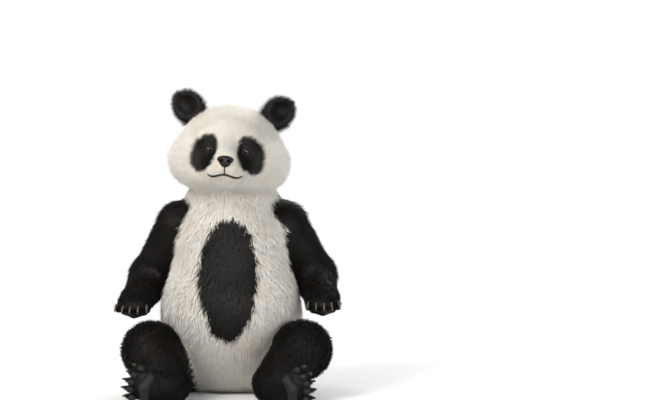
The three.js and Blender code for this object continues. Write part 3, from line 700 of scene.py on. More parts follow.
# %% [markdown]
# ## Where the tufts are rooted
# A coat of real hairs would be millions of faces, and hair curves can't leave Blender as a mesh. A tuft of
# hairs as one thin, bent spindle is six faces, so a quarter of a million of them cover a bear. Roots
# are dealt out over the skin's triangles by area times density, at even steps with a little chance, which
# leaves fewer bald spots and crowds than pure chance does.

# %% Triangles of the skin, with the unwrap at their corners
skin.data.calc_loop_triangles()
vertex_of = read(skin.data.loops, "vertex_index", 1, np.int32)
uv_of = read(skin.data.uv_layers["OFBake"].data, "uv", 2)
skin_co = read(skin.data.vertices, "co", 3)
skin_normal = read(skin.data.vertex_normals, "vector", 3)
skin_tri = read(skin.data.loop_triangles, "loops", 3, np.int32)
print("skin triangles:", len(skin_tri))

# %% Weights of the parts near a point
NAMES = list(part_distances(np.zeros((1, 3), np.float32)))
WIDE_STRETCH = 34 * MM
FACE_SHORTER, FACE_FINER = 0.6, 0.42  # how much of its length and width a tuft loses on the face


def part_weights(d, reach=14 * MM):
    """exp(-(distance below its coat - the nearest) / reach) for every part, adding up to 1."""
    sunk = np.stack([d[n] + depth_of(n) for n in NAMES])
    weight = np.exp(-np.minimum((sunk - sunk.min(0)) / reach, 30))
    return weight / weight.sum(0)


def coat_values(p, d):
    """Length, width (metres), the two angles (radians) and the weights of the parts at each point. All of
    them change from part to part over a wide stretch, so that no line shows at a wrist or a jaw."""
    weight, wide = part_weights(d), part_weights(d, WIDE_STRETCH)
    table = np.array([of_part(COAT, n)[1:] for n in NAMES], np.float32)
    length, width, rise, tip = (wide.T @ table).T
    face = face_share(into(head_frame, p)) * weight[NAMES.index("head")]
    length, width = length * (1 - FACE_SHORTER * face), width * (1 - FACE_FINER * face)
    return length * MM, width * MM, np.radians(rise), np.radians(tip), wide


# %% [markdown]
# ## The lie of the coat
# Hair leans away from the nose on a bear's face, runs back over the crown, down the trunk, and along each
# limb to its paw, where it turns over the toes. Each part states one direction, the weights of the parts mix
# them, and what is left after taking away the share along the normal is the lie. A slow noise turns it a
# little here and there, so that locks form.

# %% Directions of the parts
def lie_of_parts(p):
    """One direction for each part at each point, in the order of NAMES."""
    nose_tip = out_of(head_frame, to_m((0, -215, -30)))
    from_nose = unit(p - nose_tip.astype(np.float32))
    behind = np.clip((into(head_frame, p)[..., 1] / MM + 20) / 120, 0, 1)[:, None]
    on_head = unit(from_nose * (1 - behind) + np.array((0, 0.3, -1)) * behind)
    down = np.tile(np.array((0, 0.1, -1.0)), (len(p), 1))
    down += 0.35 * unit(p - to_m((0, 0, 400))) * (1, 1, 0)
    down_tail = np.tile((0, 0.5, -0.85), (len(p), 1))
    ways = {"trunk": down, "head": on_head, "muzzle": from_nose, "tail": down_tail}
    for name, s in LIMBS.items():
        up = ear_frame(s["sign"])[:3, 2]
        ways["ear_" + name] = np.tile(unit(up), (len(p), 1)) + 0.5 * on_head
        for part, (a, b) in BONES.items():
            over_toes = 0.5 * s[part + "_frame"][:3, 2] if part in PAWS else 0
            ways[f"{part}_{name}"] = np.tile(unit(s[b] - s[a]) + over_toes, (len(p), 1))
    return np.stack([ways[n] for n in NAMES])


FROM_EYES, FROM_EYES_REACH = 1.6, 30 * MM
TURNS = (0.34, 110, 21), (0.3, 38, 22)  # how far in radians, how long in millimetres, which draw


def flat_on(normal, v):
    """v less its share along the normal."""
    return v - (v * normal).sum(-1, keepdims=True) * normal


def lie(p, normal, weight):
    """The mixed direction, led away from the eyes, laid flat on the skin and turned by noise."""
    g = np.einsum("np,npk->pk", weight, lie_of_parts(p))
    for made in EYE_FRAMES.values():
        away = p - made[:3, 3].astype(np.float32)
        near = np.exp(-((np.linalg.norm(away, axis=-1) / FROM_EYES_REACH) ** 2))
        g = g + FROM_EYES * unit(away) * near[:, None]
    g = unit(flat_on(normal, g))
    side = np.cross(normal, g)
    turn_by = sum(far * waves(p, size, seed) for far, size, seed in TURNS)
    return g * np.cos(turn_by)[:, None] + side * np.sin(turn_by)[:, None]


# %% Places that stay bare
def near_line(p, points):
    """Distance from each point of p to a line through points."""
    best = np.full(len(p), np.inf, np.float32)
    for a, b in zip(points[:-1], points[1:]):
        ab = b - a
        t = np.clip((p - a) @ ab / (ab @ ab), 0, 1)
        best = np.minimum(best, np.linalg.norm(p - a - t[:, None] * ab, axis=-1))
    return best


# How far off the first tufts root and over what length the coat comes in full: millimetres, and for an eye
# shares of its opening
BARE = dict(nose=(0.6, 9), eye=(1.22, 2.2), mouth=(4.4, 10), cleft=(3.6, 8))
BARE_BEHIND_EYE = 14
BARE_ABOVE_FLOOR = 6
BARE_CLEFT = (0, -240, -38), (0, -234, -62), (0, -230, -74)


def open_ground(p):
    """0 where no tuft may root, rising to 1 away from the eyes, the nose, the mouth and the floor."""
    q = into(head_frame, p)
    share = rising(masses(q, NOSE, NOSE_BLEND) / MM, *BARE["nose"])
    for made in EYE_FRAMES.values():
        e = into(made, p) / MM
        r = np.hypot(e[:, 0] / EYE["opening"][0], e[:, 2] / EYE["opening"][1])
        share = np.minimum(share, np.where(e[:, 1] < BARE_BEHIND_EYE, rising(r, *BARE["eye"]), 1))
    share = np.minimum(share, rising(near_line(q, mouth_line * MM) / MM, *BARE["mouth"]))
    share = np.minimum(share, rising(near_line(q, np.array(BARE_CLEFT) * MM) / MM, *BARE["cleft"]))
    return np.where(p[:, 2] < BARE_ABOVE_FLOOR * MM, 0, share)


# %% Deal the roots out
SPACING = dict(
    trunk=3.9, head=3.1, muzzle=1.6, ear=2.4, tail=3.9,
    upper_arm=3.9, forearm=3.6, forepaw=2.2, thigh=3.9, shank=3.6, hindpaw=2.2,
)
FACE_CLOSER = 1.2
LONG_TUFTS, SHORT_TUFTS = 188_000, 86_000
SHORT_PARTS = ["muzzle"] + [f"{part}_{side}" for part in ("ear", "forepaw", "hindpaw") for side in LIMBS]


def short_share(p, weight):
    """1 where the coat is short: on the face, the ears and the paws."""
    face = face_share(into(head_frame, p)) * weight[NAMES.index("head")]
    return face + sum(weight[NAMES.index(part)] for part in SHORT_PARTS)


def deal_roots(count, seed, short):
    """Triangles by the running total of area x density, read at even steps with a little chance in each, and
    a place in each triangle that is even over its area: 1 - sqrt(r), sqrt(r) (1 - s), sqrt(r) s."""
    rng = np.random.default_rng(seed)
    corner = skin_co[vertex_of[skin_tri]]
    area = np.linalg.norm(np.cross(corner[:, 1] - corner[:, 0], corner[:, 2] - corner[:, 0]), axis=1) / 2
    middle = corner.mean(1)
    weight = part_weights(part_distances(middle))
    spacing = weight.T @ np.array([of_part(SPACING, n) for n in NAMES])
    spacing -= FACE_CLOSER * face_share(into(head_frame, middle)) * weight[NAMES.index("head")]
    share = np.clip(short_share(middle, weight) * 1.6 - 0.3, 0, 1)
    density = (open_ground(middle) > 0) * (share if short else 1 - share) / spacing**2
    total = np.cumsum(area * density)
    at = (np.arange(count) + rng.uniform(0, 1, count)) / count * total[-1]
    tri = np.searchsorted(total, at).clip(0, len(total) - 1)
    r, s = np.sqrt(rng.uniform(0, 1, count)), rng.uniform(0, 1, count)
    share = np.stack([1 - r, r * (1 - s), r * s], -1).astype(np.float32)[..., None]
    corners = skin_tri[tri]
    place = (skin_co[vertex_of[corners]] * share).sum(1)
    normal = unit((skin_normal[vertex_of[corners]] * share).sum(1))
    print("short" if short else "long", "tufts:", count)
    return place, normal, (uv_of[corners] * share).sum(1)


dealt = [deal_roots(LONG_TUFTS, 5, False), deal_roots(SHORT_TUFTS, 8, True)]
roots, root_normal, root_uv = (np.concatenate(columns) for columns in zip(*dealt))
is_short = np.arange(len(roots)) >= LONG_TUFTS

# %% [markdown]
# ## From a root to a tuft
# Each blade leaves the skin steeply and bends over to lie along the body. Its cross-section is a low
# triangle, widest at the bend and drawn out to a point, and its root is sunk so that no gap shows. Where the
# coat is short a blade has no room to bend, so there it is a straight spike of four faces. Neighbours lean
# together by a slow wave's slope, which is how real hair gathers in locks.

# %% Blades as whole arrays
BEND_AT = 0.42  # the share of a tuft's length at which it bends
LOCKS = 0.3  # how far tips are drawn together into locks, as a share of a tuft's length
ROOT_SUNK = 2.2 * MM
OVER_FLOOR = 1.0 * MM, 1.5 * MM  # the least height of a tuft's points, and how much chance may add to it


def wave_slope(p, size, seed):
    """The slope of waves() by differences, times the wave's size, so that it is about 1 long at most."""
    h = 0.5 * MM
    steps = np.eye(3, dtype=np.float32) * h
    slope = np.stack([(waves(p + s, size, seed) - waves(p - s, size, seed)) / (2 * h) for s in steps], -1)
    return slope * size * MM / 6


def blades(place, normal, seed):
    """Eight points for each tuft: three round its sunk root, three round its bend, its tip, and the middle of
    its root."""
    rng = np.random.default_rng(seed)
    n = len(place)
    d = part_distances(place)
    length, width, rise, tip, weight = coat_values(place, d)
    share = open_ground(place)
    length = length * (0.45 + 0.55 * share) * rng.uniform(0.8, 1.2, n) * (1 + 0.12 * waves(place, 70, 31))
    width = width * rng.uniform(0.6, 1.3, n)
    g = lie(place, normal, weight)
    g = unit(g + 0.2 * rng.normal(size=(n, 3)))
    g = unit(flat_on(normal, g))
    side = np.cross(normal, g)
    rise = rise * rng.uniform(0.75, 1.2, n)
    tip = tip * rng.uniform(0.4, 1.6, n)
    first, second = (g * np.cos(a)[:, None] + normal * np.sin(a)[:, None] for a in (rise, tip))
    start = place - np.minimum(ROOT_SUNK, 0.2 * length)[:, None] * normal
    knee = place + first * (length * BEND_AT)[:, None]
    end = knee + second * (length * (1 - BEND_AT))[:, None]
    pull = flat_on(normal, wave_slope(place, 30, 41) + 0.6 * wave_slope(place, 62, 42))
    end += pull * (length * LOCKS)[:, None]
    across = unit(side + rng.uniform(-0.5, 0.5, n)[:, None] * normal)
    points = []
    for middle, way, half in ((start, first, 0.36), (knee, unit(first + second), 0.5)):
        up = unit(np.cross(way, across))
        up *= np.sign((up * normal).sum(-1, keepdims=True))
        w = (width * half)[:, None]
        points += [middle - across * w, middle + across * w, middle + up * w * 0.7]
    points += [end, start]
    blade = np.stack(points, 1)
    blade[..., 2] = np.maximum(blade[..., 2], OVER_FLOOR[0] + OVER_FLOOR[1] * rng.uniform(0, 1, (n, 1)))
    return blade, d


# %% The two kinds of tuft: which of the eight points it keeps, and its faces
BENT = dict(
    keep=[7, 3, 4, 5, 6],
    faces=np.array([(0, 2, 1), (0, 3, 2), (0, 1, 3), (4, 1, 2), (4, 2, 3), (4, 3, 1)]),
    along=np.array([0, BEND_AT, BEND_AT, BEND_AT, 1]),
    across=np.array([0, -1, 1, 0, 0]),
)
STRAIGHT = dict(
    keep=[0, 1, 2, 6],
    faces=np.array([(0, 2, 1), (0, 1, 3), (1, 2, 3), (2, 0, 3)]),
    along=np.array([0, 0, 0, 1]),
    across=np.array([-1, 1, 0, 0]),
)
PATCH_WIDTH, PATCH_LENGTH = 0.0011, 0.003  # the stamp of a tuft on the skin's unwrap
NORMAL_OF_SKIN = 0.7  # the share of the skin's own normal in a tuft's


def is_inside_out(tufts, kind):
    """True where the tuft's volume, summed over its faces, is below zero."""
    tri = kind["faces"]
    a, b, c = (tufts[:, tri[:, k]] - tufts[:, :1] for k in range(3))
    return (np.cross(a, b) * c).sum((1, 2)) < 0


def coat_piece(name, tufts, uv, chance, kind):
    """One joined mesh of tufts, with its share along the tuft, its chance and its place in the unwrap."""
    tufts = tufts[:, kind["keep"]]
    n, each = tufts.shape[:2]
    base = (np.arange(n) * each)[:, None, None]
    turned = is_inside_out(tufts, kind)[:, None, None]
    faces = np.where(turned, kind["faces"][:, ::-1], kind["faces"]) + base
    thing = mesh_object(name, tufts.reshape(-1, 3), faces.reshape(-1, 3))
    give_values(thing, "along", np.tile(kind["along"], n))
    give_values(thing, "chance", np.repeat(chance, each))
    patch = np.stack([kind["across"] * PATCH_WIDTH, (kind["along"] - 0.5) * PATCH_LENGTH], -1)
    give_uv(thing, "OFBake", (uv[:, None] + patch).reshape(-1, 2))
    return thing


def soften(thing, root_normals, share):
    """Each point's normal becomes share x the skin's normal at the root + the rest of its own."""
    own = read(thing.data.vertex_normals, "vector", 3)
    along_root = np.repeat(root_normals, len(own) // len(root_normals), axis=0)
    thing.data.normals_split_custom_set_from_vertices(unit(share * along_root + (1 - share) * own))


blade, blade_d = blades(roots, root_normal, 6)
root_black = blackness(roots, blade_d, 4)
chance = np.random.default_rng(7).uniform(0, 1, len(roots))
is_black = root_black > chance * 0.8 + 0.1
print("tufts reach", blade.reshape(-1, 3).min(0).round(3), blade.reshape(-1, 3).max(0).round(3))

# %% [markdown]
# ## Pieces of coat
# One mesh of all the tufts would be too heavy to pass on, so the coat is parted where a furrier would part
# it: by the limb or the trunk it covers, and by its colour. Shading helps it to look soft: each blade's
# normals lean towards the skin's own, so light rolls over the body, and the blades only break it up.

# %% Part the coat and make its meshes
REGION = {"head": ("head", "muzzle", "ear_left", "ear_right"), "trunk": ("trunk", "tail")}
for limb, parts in (("arm", ARM_PARTS), ("leg", LEG_PARTS)):
    for side in LIMBS:
        REGION[f"{limb}_{side}"] = [f"{part}_{side}" for part in parts]
PIECE_TRIANGLES = 190_000
nearest = np.argmax(part_weights(blade_d), 0)
coat_pieces = {"white": [], "black": []}
coat_triangles = 0

for region, parts in REGION.items():
    here = np.isin(nearest, [NAMES.index(n) for n in parts])
    for colour, mask in (("white", ~is_black), ("black", is_black)):
        for length, kind, of_kind in (("long", BENT, ~is_short), ("short", STRAIGHT, is_short)):
            chosen = np.nonzero(here & mask & of_kind)[0]
            if len(chosen) == 0:
                continue
            each = len(kind["faces"])
            chosen = chosen[np.argsort(np.arctan2(roots[chosen, 0], -roots[chosen, 1]), kind="stable")]
            pieces = math.ceil(len(chosen) * each / PIECE_TRIANGLES)
            for n, some in enumerate(np.array_split(chosen, pieces)):
                name = f"coat_{colour}_{length}_{region}_{n + 1}"
                piece = coat_piece(name, blade[some], root_uv[some], chance[some], kind)
                soften(piece, root_normal[some], NORMAL_OF_SKIN)
                coat_pieces[colour].append(piece)
                coat_triangles += len(some) * each
                print(name, len(some), "tufts")
print("coat:", coat_triangles, "triangles")

# %% [markdown]
# ## The eyes
# A bear's eye is small, dark and round, with a slit pupil that stands upright, and its cornea bulges a little
# out of the ball. The ball is one surface over the angle from its front pole and the angle round it. Its UV
# map holds the view from the front, so that the material can draw iris and pupil.

# %% Closed surfaces over two parameters
def full_turn(steps):
    """Angles evenly round a circle, the last a step before the first."""
    return np.linspace(0, 2 * math.pi, steps, endpoint=False)


def grid_faces(rows, columns, end_to_start=False):
    """Quads between rows of points. Each row closes on itself, and the last row may run on to the first."""
    i, j = np.meshgrid(np.arange(rows - (not end_to_start)), np.arange(columns), indexing="ij")
    here, there, beside = i * columns, (i + 1) % rows * columns, (j + 1) % columns
    return np.stack([here + j, here + beside, there + beside, there + j], -1).reshape(-1, 4)


def fan(pole, first, columns):
    """Triangles from one point to a row of points that starts at number first and closes on itself."""
    j = np.arange(columns)
    return np.stack([np.full(columns, pole), first + j, first + (j + 1) % columns], -1)


def closed_rows(rows):
    """Points and faces of a surface from rings of points, with a pole in the middle of its two end rings."""
    count, columns = rows.shape[:2]
    points = np.concatenate([rows.reshape(-1, 3), rows[0].mean(0)[None], rows[-1].mean(0)[None]])
    start = fan(count * columns, 0, columns)[:, [0, 2, 1]]
    end = fan(count * columns + 1, (count - 1) * columns, columns)
    return points, [grid_faces(count, columns), np.concatenate([start, end])]


def volume(points, faces):
    """Signed volume inside faces that point outwards: the sum of a · (b x c) / 6 over their triangles."""
    tri = [f if f.shape[1] == 3 else np.concatenate([f[:, :3], f[:, [0, 2, 3]]]) for f in faces]
    a, b, c = points[np.concatenate(tri)].transpose(1, 0, 2)
    return (a * np.cross(b, c)).sum() / 6


def outward(points, faces):
    """The same faces, turned round where they point inwards."""
    return faces if volume(points, faces) > 0 else [f[:, ::-1] for f in faces]


def joined(name, parts):
    """One mesh from several closed sets of points and faces."""
    points, quads, tris, base = [], [], [], 0
    for p, faces in parts:
        for f in outward(p, faces):
            (quads if f.shape[1] == 4 else tris).append(f + base)
        points.append(p)
        base += len(p)
    return mesh_object(name, np.concatenate(points), [np.concatenate(f) for f in (quads, tris) if f])


# %% Eyeballs
def eyeball(name, sign):
    """radius x (1 + 0.05 exp(-(angle / 0.55)²)) over the angle from the front pole, which faces -Y."""
    angle = np.concatenate([np.linspace(0.02, 0.9, 20), np.linspace(0.98, math.pi - 0.05, 14)])[:, None]
    a = full_turn(48)[None]
    r = EYE["radius"] * (1 + 0.05 * np.exp(-((angle / 0.55) ** 2)))
    wide, front = r * np.sin(angle), -r * np.cos(angle)
    points, faces = closed_rows(np.stack([wide * np.cos(a), front + 0 * a, wide * np.sin(a)], -1))
    eye = mesh_object(name, out_of(EYE_FRAMES[sign], points * MM), outward(points, faces))
    give_uv(eye, "front", points[:, [0, 2]] / (2 * EYE["radius"]) + 0.5)
    return eye


eyes = {name: eyeball("eyeball_" + name, s["sign"]) for name, s in LIMBS.items()}
print("eyeballs:", [len(e.data.polygons) for e in eyes.values()], "faces")

# %% [markdown]
# ## The lids
# Both lids are one ring of bare dark skin round an almond-shaped opening. Going outwards, its profile lies on
# the ball, turns over a rounded rim, and runs down on to the face and below the roots of the fur.

# %% Lid rings: scale of the almond, height over the ball (0 for none), depth below the face
LID_RINGS = [
    (0.88, -1.4, 9), (0.95, 0.2, 7), (0.99, 0.9, 5), (1.06, 1.3, 3.6), (1.16, 1.2, 2.6), (1.28, 0.6, 2.4),
    (1.44, 0, 3.2), (1.64, 0, 4.6), (1.9, 0, 7.5), (2.1, 0, 13),
]


def almond(a, grow, sign):
    """The opening's edge at angle a: an ellipse drawn out to its corners by sin·|sin|^0.25, and on its inner
    side, where u = -sign·cos is above zero, a quarter longer and lower by 2.6 u²."""
    u = np.maximum(-sign * np.cos(a), 0)
    x = EYE["opening"][0] * np.cos(a) * grow * (1 + 0.25 * u * u)
    z = EYE["opening"][1] * np.sin(a) * np.abs(np.sin(a)) ** 0.25 * grow - 2.6 * u * u
    return x, z


def lids(name, sign):
    """Rings of the almond at growing scales. Each lies a height over the ball's sphere, or a depth below the
    face where that is further out, and the last two turn back inside the head to close the ring."""
    a = full_turn(64)
    to_head = np.linalg.inv(head_frame) @ EYE_FRAMES[sign]
    way = np.tile(-to_head[:3, 1] / np.linalg.norm(to_head[:3, 1]), (len(a), 1))
    rings = []
    for grow, height, depth in LID_RINGS:
        x, z = almond(a, grow, sign)
        ball_y = -np.sqrt(np.maximum((EYE["radius"] + height) ** 2 - x**2 - z**2, 1))
        inside = out_of(to_head, np.stack([x, 0 * x + 14, z], -1) * MM) / MM
        face_y = into(to_head, (surface_from(inside, way) * MM).astype(np.float32))[:, 1] / MM + depth
        rings.append(np.stack([x, np.minimum(ball_y, face_y) if height else face_y, z], -1))
    rings += [rings[-1] * (0.6, 1, 0.6) + (0, 4, 0), rings[0] * (0.9, 1, 0.9) + (0, 6, 0)]
    points = out_of(EYE_FRAMES[sign], np.concatenate(rings) * MM)
    faces = [grid_faces(len(rings), len(a), end_to_start=True)]
    return mesh_object(name, points, outward(points, faces))


lid_pieces = [lids("lids_" + name, s["sign"]) for name, s in LIMBS.items()]
print("lids:", [len(l.data.polygons) for l in lid_pieces], "faces")

# %% [markdown]
# ## Nose leather, lips and chin line
# The nose is a broad pad of pebbled black leather with a comma-shaped nostril on each side and a groove down
# its middle. It is a soft blend of masses with the nostrils taken out, so the same grid method makes it, with
# much finer steps. The lips are thin bare rolls that follow the muzzle's surface.

# %% The nose pad
NOSTRIL = dict(at=(12, -242, -25), half=(6, 12, 4.2), slant=28)
NOSTRIL_SLIT = (17, -241, -29), 1.9, (24, -228, -35), 1.2
NOSE_GROOVE = (0, -249, -30), 1.5, (0, -243, -46), 1.5


def nose_field(p):
    """The nose's masses, less a slanted pit and a slit beside each, less a groove down the middle."""
    d, q = masses(p, NOSE, NOSE_BLEND), folded(p)
    pit = into(placed(NOSTRIL["at"], turn(0, NOSTRIL["slant"], 0)), q)
    hole = soft_min(ball(pit, (0, 0, 0), NOSTRIL["half"]), bar(q, *NOSTRIL_SLIT), 3)
    d = -soft_min(-d, hole, 2.5)
    return -soft_min(-d, bar(p, *NOSE_GROOVE), 3)


nose_lines = [grid_lines(-34, 34, 1.1), grid_lines(-256, -196, 1.1), grid_lines(-56, 0, 1.1)]
nose_points, nose_faces = surface(nose_field, nose_lines)
nose_pad = mesh_object("nose_pad", out_of(head_frame, nose_points), nose_faces)
print("nose:", len(nose_faces), "faces")

# %% Lips along the mouth, and the cleft under the nose
def roll(line, radius, sides=12):
    """A round section carried along a line: its middle is the line, its plane stands square to it."""
    ahead = unit(np.gradient(line, axis=0))
    up = np.tile((0.0, 0.0, 1.0), (len(line), 1))
    up = np.where(np.abs(ahead[:, 2:]) > 0.8, (1.0, 0.0, 0.0), up)
    across = unit(np.cross(up, ahead))
    up = np.cross(ahead, across)
    a = full_turn(sides)[None, :, None]
    radius = np.broadcast_to(radius, len(line))[:, None, None]
    return line[:, None] + radius * (np.cos(a) * across[:, None] + np.sin(a) * up[:, None])


LIP = dict(radius=2.3, lower_radius=0.9, sunk=2.6, lower_sunk=3.4, apart=1.5)  # lower_radius is a share
CLEFT = dict(top=-40, foot=-73, points=9, radius=1.7, sunk=1.6)
lip_radius = LIP["radius"] * (1 - 0.75 * mouth_share**4)
inwards = unit(np.array(MOUTH["middle"]) - mouth_line)
upper_lip = mouth_line + inwards * LIP["sunk"] + (0, 0, LIP["apart"])
lower_lip = mouth_line + inwards * LIP["lower_sunk"] - (0, 0, LIP["apart"])
cleft_from = [(0, MOUTH["middle"][1], z) for z in np.linspace(CLEFT["top"], CLEFT["foot"], CLEFT["points"])]
cleft_line = surface_from(cleft_from, np.tile((0, -1, 0), (CLEFT["points"], 1))) + (0, CLEFT["sunk"], 0)
rolls = (
    (upper_lip, lip_radius), (lower_lip, lip_radius * LIP["lower_radius"]), (cleft_line, CLEFT["radius"]),
)
lips = joined("lips", [closed_rows(out_of(head_frame, roll(line, radius) * MM)) for line, radius in rolls])
print("lips:", len(lips.data.polygons), "faces")

# %% [markdown]
# ## Claws and pads
# Each toe ends in a stout hooked claw, and the sole has bare pads: one under each toe and a broad one across
# the ball of the foot. A claw is an oval section carried along an arc that bends towards the sole. The pads
# are low cushions on the sole, so they are small masses again.

# %% Claws
CLAW_BEND = 66  # degrees from root to tip
CLAW_FLAT = 0.72  # a claw's width as a share of its height


def claw_rows(paw):
    """An arc of radius R = length / B, where B is CLAW_BEND in radians: R sin(B t) along the toe and
    R (1 - cos(B t)) towards the sole. Its half width is radius (1 - 0.84 t^1.7)."""
    reach, _, thick = paw["toe"]
    length, radius = paw["claw"]
    t = np.linspace(0, 1, 14)
    whole = math.radians(CLAW_BEND)
    along = reach * 0.52 + length / whole * np.sin(whole * t)
    down = length / whole * (1 - np.cos(whole * t)) - thick * 0.34
    line = np.stack([along, 0 * t, down], -1)
    size = radius * (1 - 0.84 * t**1.7)
    a = full_turn(16)[None, :, None]
    ahead = unit(np.gradient(line, axis=0))
    across = np.tile((0.0, 1.0, 0.0), (len(t), 1))
    up = np.cross(ahead, across)
    section = CLAW_FLAT * np.cos(a) * across[:, None] + np.sin(a) * up[:, None]
    return line[:, None] + size[:, None, None] * section


claw_pieces = []
for side, s in LIMBS.items():
    for kind, paw in PAWS.items():
        toes = [s[kind + "_frame"] @ toe_frame(paw, n) for n in range(TOES)]
        claws = [closed_rows(out_of(toe, claw_rows(paw) * MM)) for toe in toes]
        claw_pieces.append(joined(f"claws_{kind}_{side}", claws))
print("claws:", [len(c.data.polygons) for c in claw_pieces], "faces each")

# %% Pads
PAD_END, PAD_MIDDLE, TOE_PAD = 15, 18, (14, 11, 9)
PAD_STEP = 2.6


def pad_field(paw):
    """Two bars that meet at the middle of the ball of the foot, and one ball under each toe."""
    length, width, depth = paw["half"]
    middle = (length * 0.34, 0, depth * (paw["pad_out"] + 0.06))
    inner, outer = ((length * 0.2, sign * width * 0.5, depth * paw["pad_out"]) for sign in (-1, 1))

    def field(p):
        """Distance to the pads, for points in the paw's frame."""
        d = bar(p, inner, PAD_END, middle, PAD_MIDDLE)
        d = soft_min(d, bar(p, middle, PAD_MIDDLE, outer, PAD_END), 8)
        for n in range(TOES):
            q = into(toe_frame(paw, n), p)
            d = np.minimum(d, ball(q, (4, 0, paw["toe"][2] * 0.62), TOE_PAD))
        return d

    return field


pad_pieces = []
for side, s in LIMBS.items():
    for kind, paw in PAWS.items():
        length, width, _ = paw["half"]
        stretches = (-length, length + 60), (-width - 24, width + 24), (-10, 86)
        points, faces = surface(pad_field(paw), [grid_lines(*stretch, PAD_STEP) for stretch in stretches])
        pad_pieces.append(mesh_object(f"pads_{kind}_{side}", out_of(s[kind + "_frame"], points), faces))
print("pads:", [len(p.data.polygons) for p in pad_pieces], "faces each")

# %% [markdown]
# ## Materials
# Hair is rough, a little glossy, and never one colour. Each tuft is a little darker than the next at random,
# its root is darker than its tip, and dust tints the coat in large soft patches. On the white coat the darker
# root is partly the creamier colour deep in the fur and partly painted shade that the coat casts on its own
# roots. That tint is a node group, because both coats use it with their own colours.

# %% Helpers for node trees
def new_material(name):
    """A material, its node tree and its shader."""
    material = bpy.data.materials.new(name)
    material.use_nodes = True
    tree = material.node_tree
    return material, tree, tree.nodes["Principled BSDF"]


def feed(tree, node, inputs):
    """Numbers, colours or other nodes' sockets into a node's inputs."""
    for key, value in inputs.items():
        if isinstance(value, bpy.types.NodeSocket):
            tree.links.new(value, node.inputs[key])
        else:
            node.inputs[key].default_value = value


def add(tree, kind, inputs=None, **settings):
    """A node with its settings and its inputs."""
    made = tree.nodes.new(kind)
    for key, value in settings.items():
        setattr(made, key, value)
    feed(tree, made, inputs or {})
    return made


def object_place(tree):
    """Object coordinates: metres from the world's origin, where every object stands."""
    return add(tree, "ShaderNodeTexCoord").outputs["Object"]


def noise(tree, place, scale, detail, roughness=0.5):
    """A cloudy value between 0 and 1, with about scale clouds to the metre."""
    inputs = {"Vector": place, "Scale": scale, "Detail": detail, "Roughness": roughness}
    return add(tree, "ShaderNodeTexNoise", inputs).outputs["Fac"]


def relief(tree, height, strength, distance):
    """A normal that leans with a height."""
    inputs = {"Height": height, "Strength": strength, "Distance": distance}
    return add(tree, "ShaderNodeBump", inputs).outputs["Normal"]


def math_of(tree, operation, a, b):
    """One operation on two values, such as MULTIPLY."""
    return add(tree, "ShaderNodeMath", {0: a, 1: b}, operation=operation).outputs[0]


def mix_colour(tree, share, a, b, blend="MIX"):
    """Colour a where share is 0, and b, or a blended with b, where it is 1."""
    made = add(tree, "ShaderNodeMix", {0: share, 6: a, 7: b}, data_type="RGBA", blend_type=blend)
    return made.outputs[2]


def ramp(tree, value, stops):
    """A colour ramp from a list of (place, colour)."""
    made = add(tree, "ShaderNodeValToRGB", {0: value})
    elements = made.color_ramp.elements
    while len(elements) < len(stops):
        elements.new(0.5)
    for element, (place, colour) in zip(elements, stops):
        element.position = place
        element.color = colour if len(colour) == 4 else (*colour, 1)
    return made.outputs[0]


def grey(v):
    """A colour with v for red, green and blue."""
    return (v, v, v, 1)


# %% The hair group: colours and height for any coat
def hair_group():
    """Colour runs from root to tip along each tuft, varies by tuft, and takes a stain from a slow noise. The
    darker root is partly painted shade deep in the coat and partly the hair's own colour.
    """
    tree = bpy.data.node_groups.new("hair", "ShaderNodeTree")
    sockets = tree.interface
    for name, kind, value in (
        ("Root", "NodeSocketColor", (0.5, 0.5, 0.5, 1)),
        ("Tip", "NodeSocketColor", (0.8, 0.8, 0.8, 1)),
        ("Stain", "NodeSocketColor", (0.4, 0.3, 0.2, 1)),
        ("Stain Amount", "NodeSocketFloat", 0.3),
        ("Variation", "NodeSocketFloat", 0.2),
    ):
        sockets.new_socket(name, in_out="INPUT", socket_type=kind).default_value = value
    sockets.new_socket("Color", in_out="OUTPUT", socket_type="NodeSocketColor")
    sockets.new_socket("Height", in_out="OUTPUT", socket_type="NodeSocketFloat")
    given = tree.nodes.new("NodeGroupInput").outputs
    along = add(tree, "ShaderNodeAttribute", attribute_name="along").outputs["Fac"]
    by_tuft = add(tree, "ShaderNodeAttribute", attribute_name="chance").outputs["Fac"]
    place = object_place(tree)
    # painted shade: the root colour, darker than the tip, stands partly for the shade deep in the coat
    base = mix_colour(tree, ramp(tree, along, [(0.1, grey(0)), (0.75, grey(1))]), given["Root"], given["Tip"])
    patches = ramp(tree, noise(tree, place, 5.5, 4.0, 0.6), [(0.42, grey(0)), (0.72, grey(1))])
    stain = math_of(tree, "MULTIPLY", patches, given["Stain Amount"])
    stained = mix_colour(tree, stain, base, given["Stain"], "MULTIPLY")
    value = math_of(tree, "SUBTRACT", 1.0, math_of(tree, "MULTIPLY", by_tuft, given["Variation"]))
    shaded = add(tree, "ShaderNodeHueSaturation", {"Color": stained, "Value": value}).outputs["Color"]
    feed(tree, tree.nodes.new("NodeGroupOutput"), {"Color": shaded, "Height": noise(tree, place, 900.0, 2.0)})
    return tree


HAIR = hair_group()


def hair_material(name, root, tip, stain, stain_amount, variation, roughness, sheen, gloss):
    """The hair group with its own colours, on a shader with its own gloss."""
    material, tree, shader = new_material(name)
    colours = {key: (*colour, 1) for key, colour in (("Root", root), ("Tip", tip), ("Stain", stain))}
    group = add(tree, "ShaderNodeGroup", node_tree=HAIR)
    feed(tree, group, {**colours, "Stain Amount": stain_amount, "Variation": variation})
    feed(tree, shader, {
        "Base Color": group.outputs["Color"],
        "Normal": relief(tree, group.outputs["Height"], 0.25, 0.0006),
        "Roughness": roughness,
        "Specular IOR Level": gloss,
        "Sheen Weight": sheen,
        "Sheen Roughness": 0.4,
    })
    return material
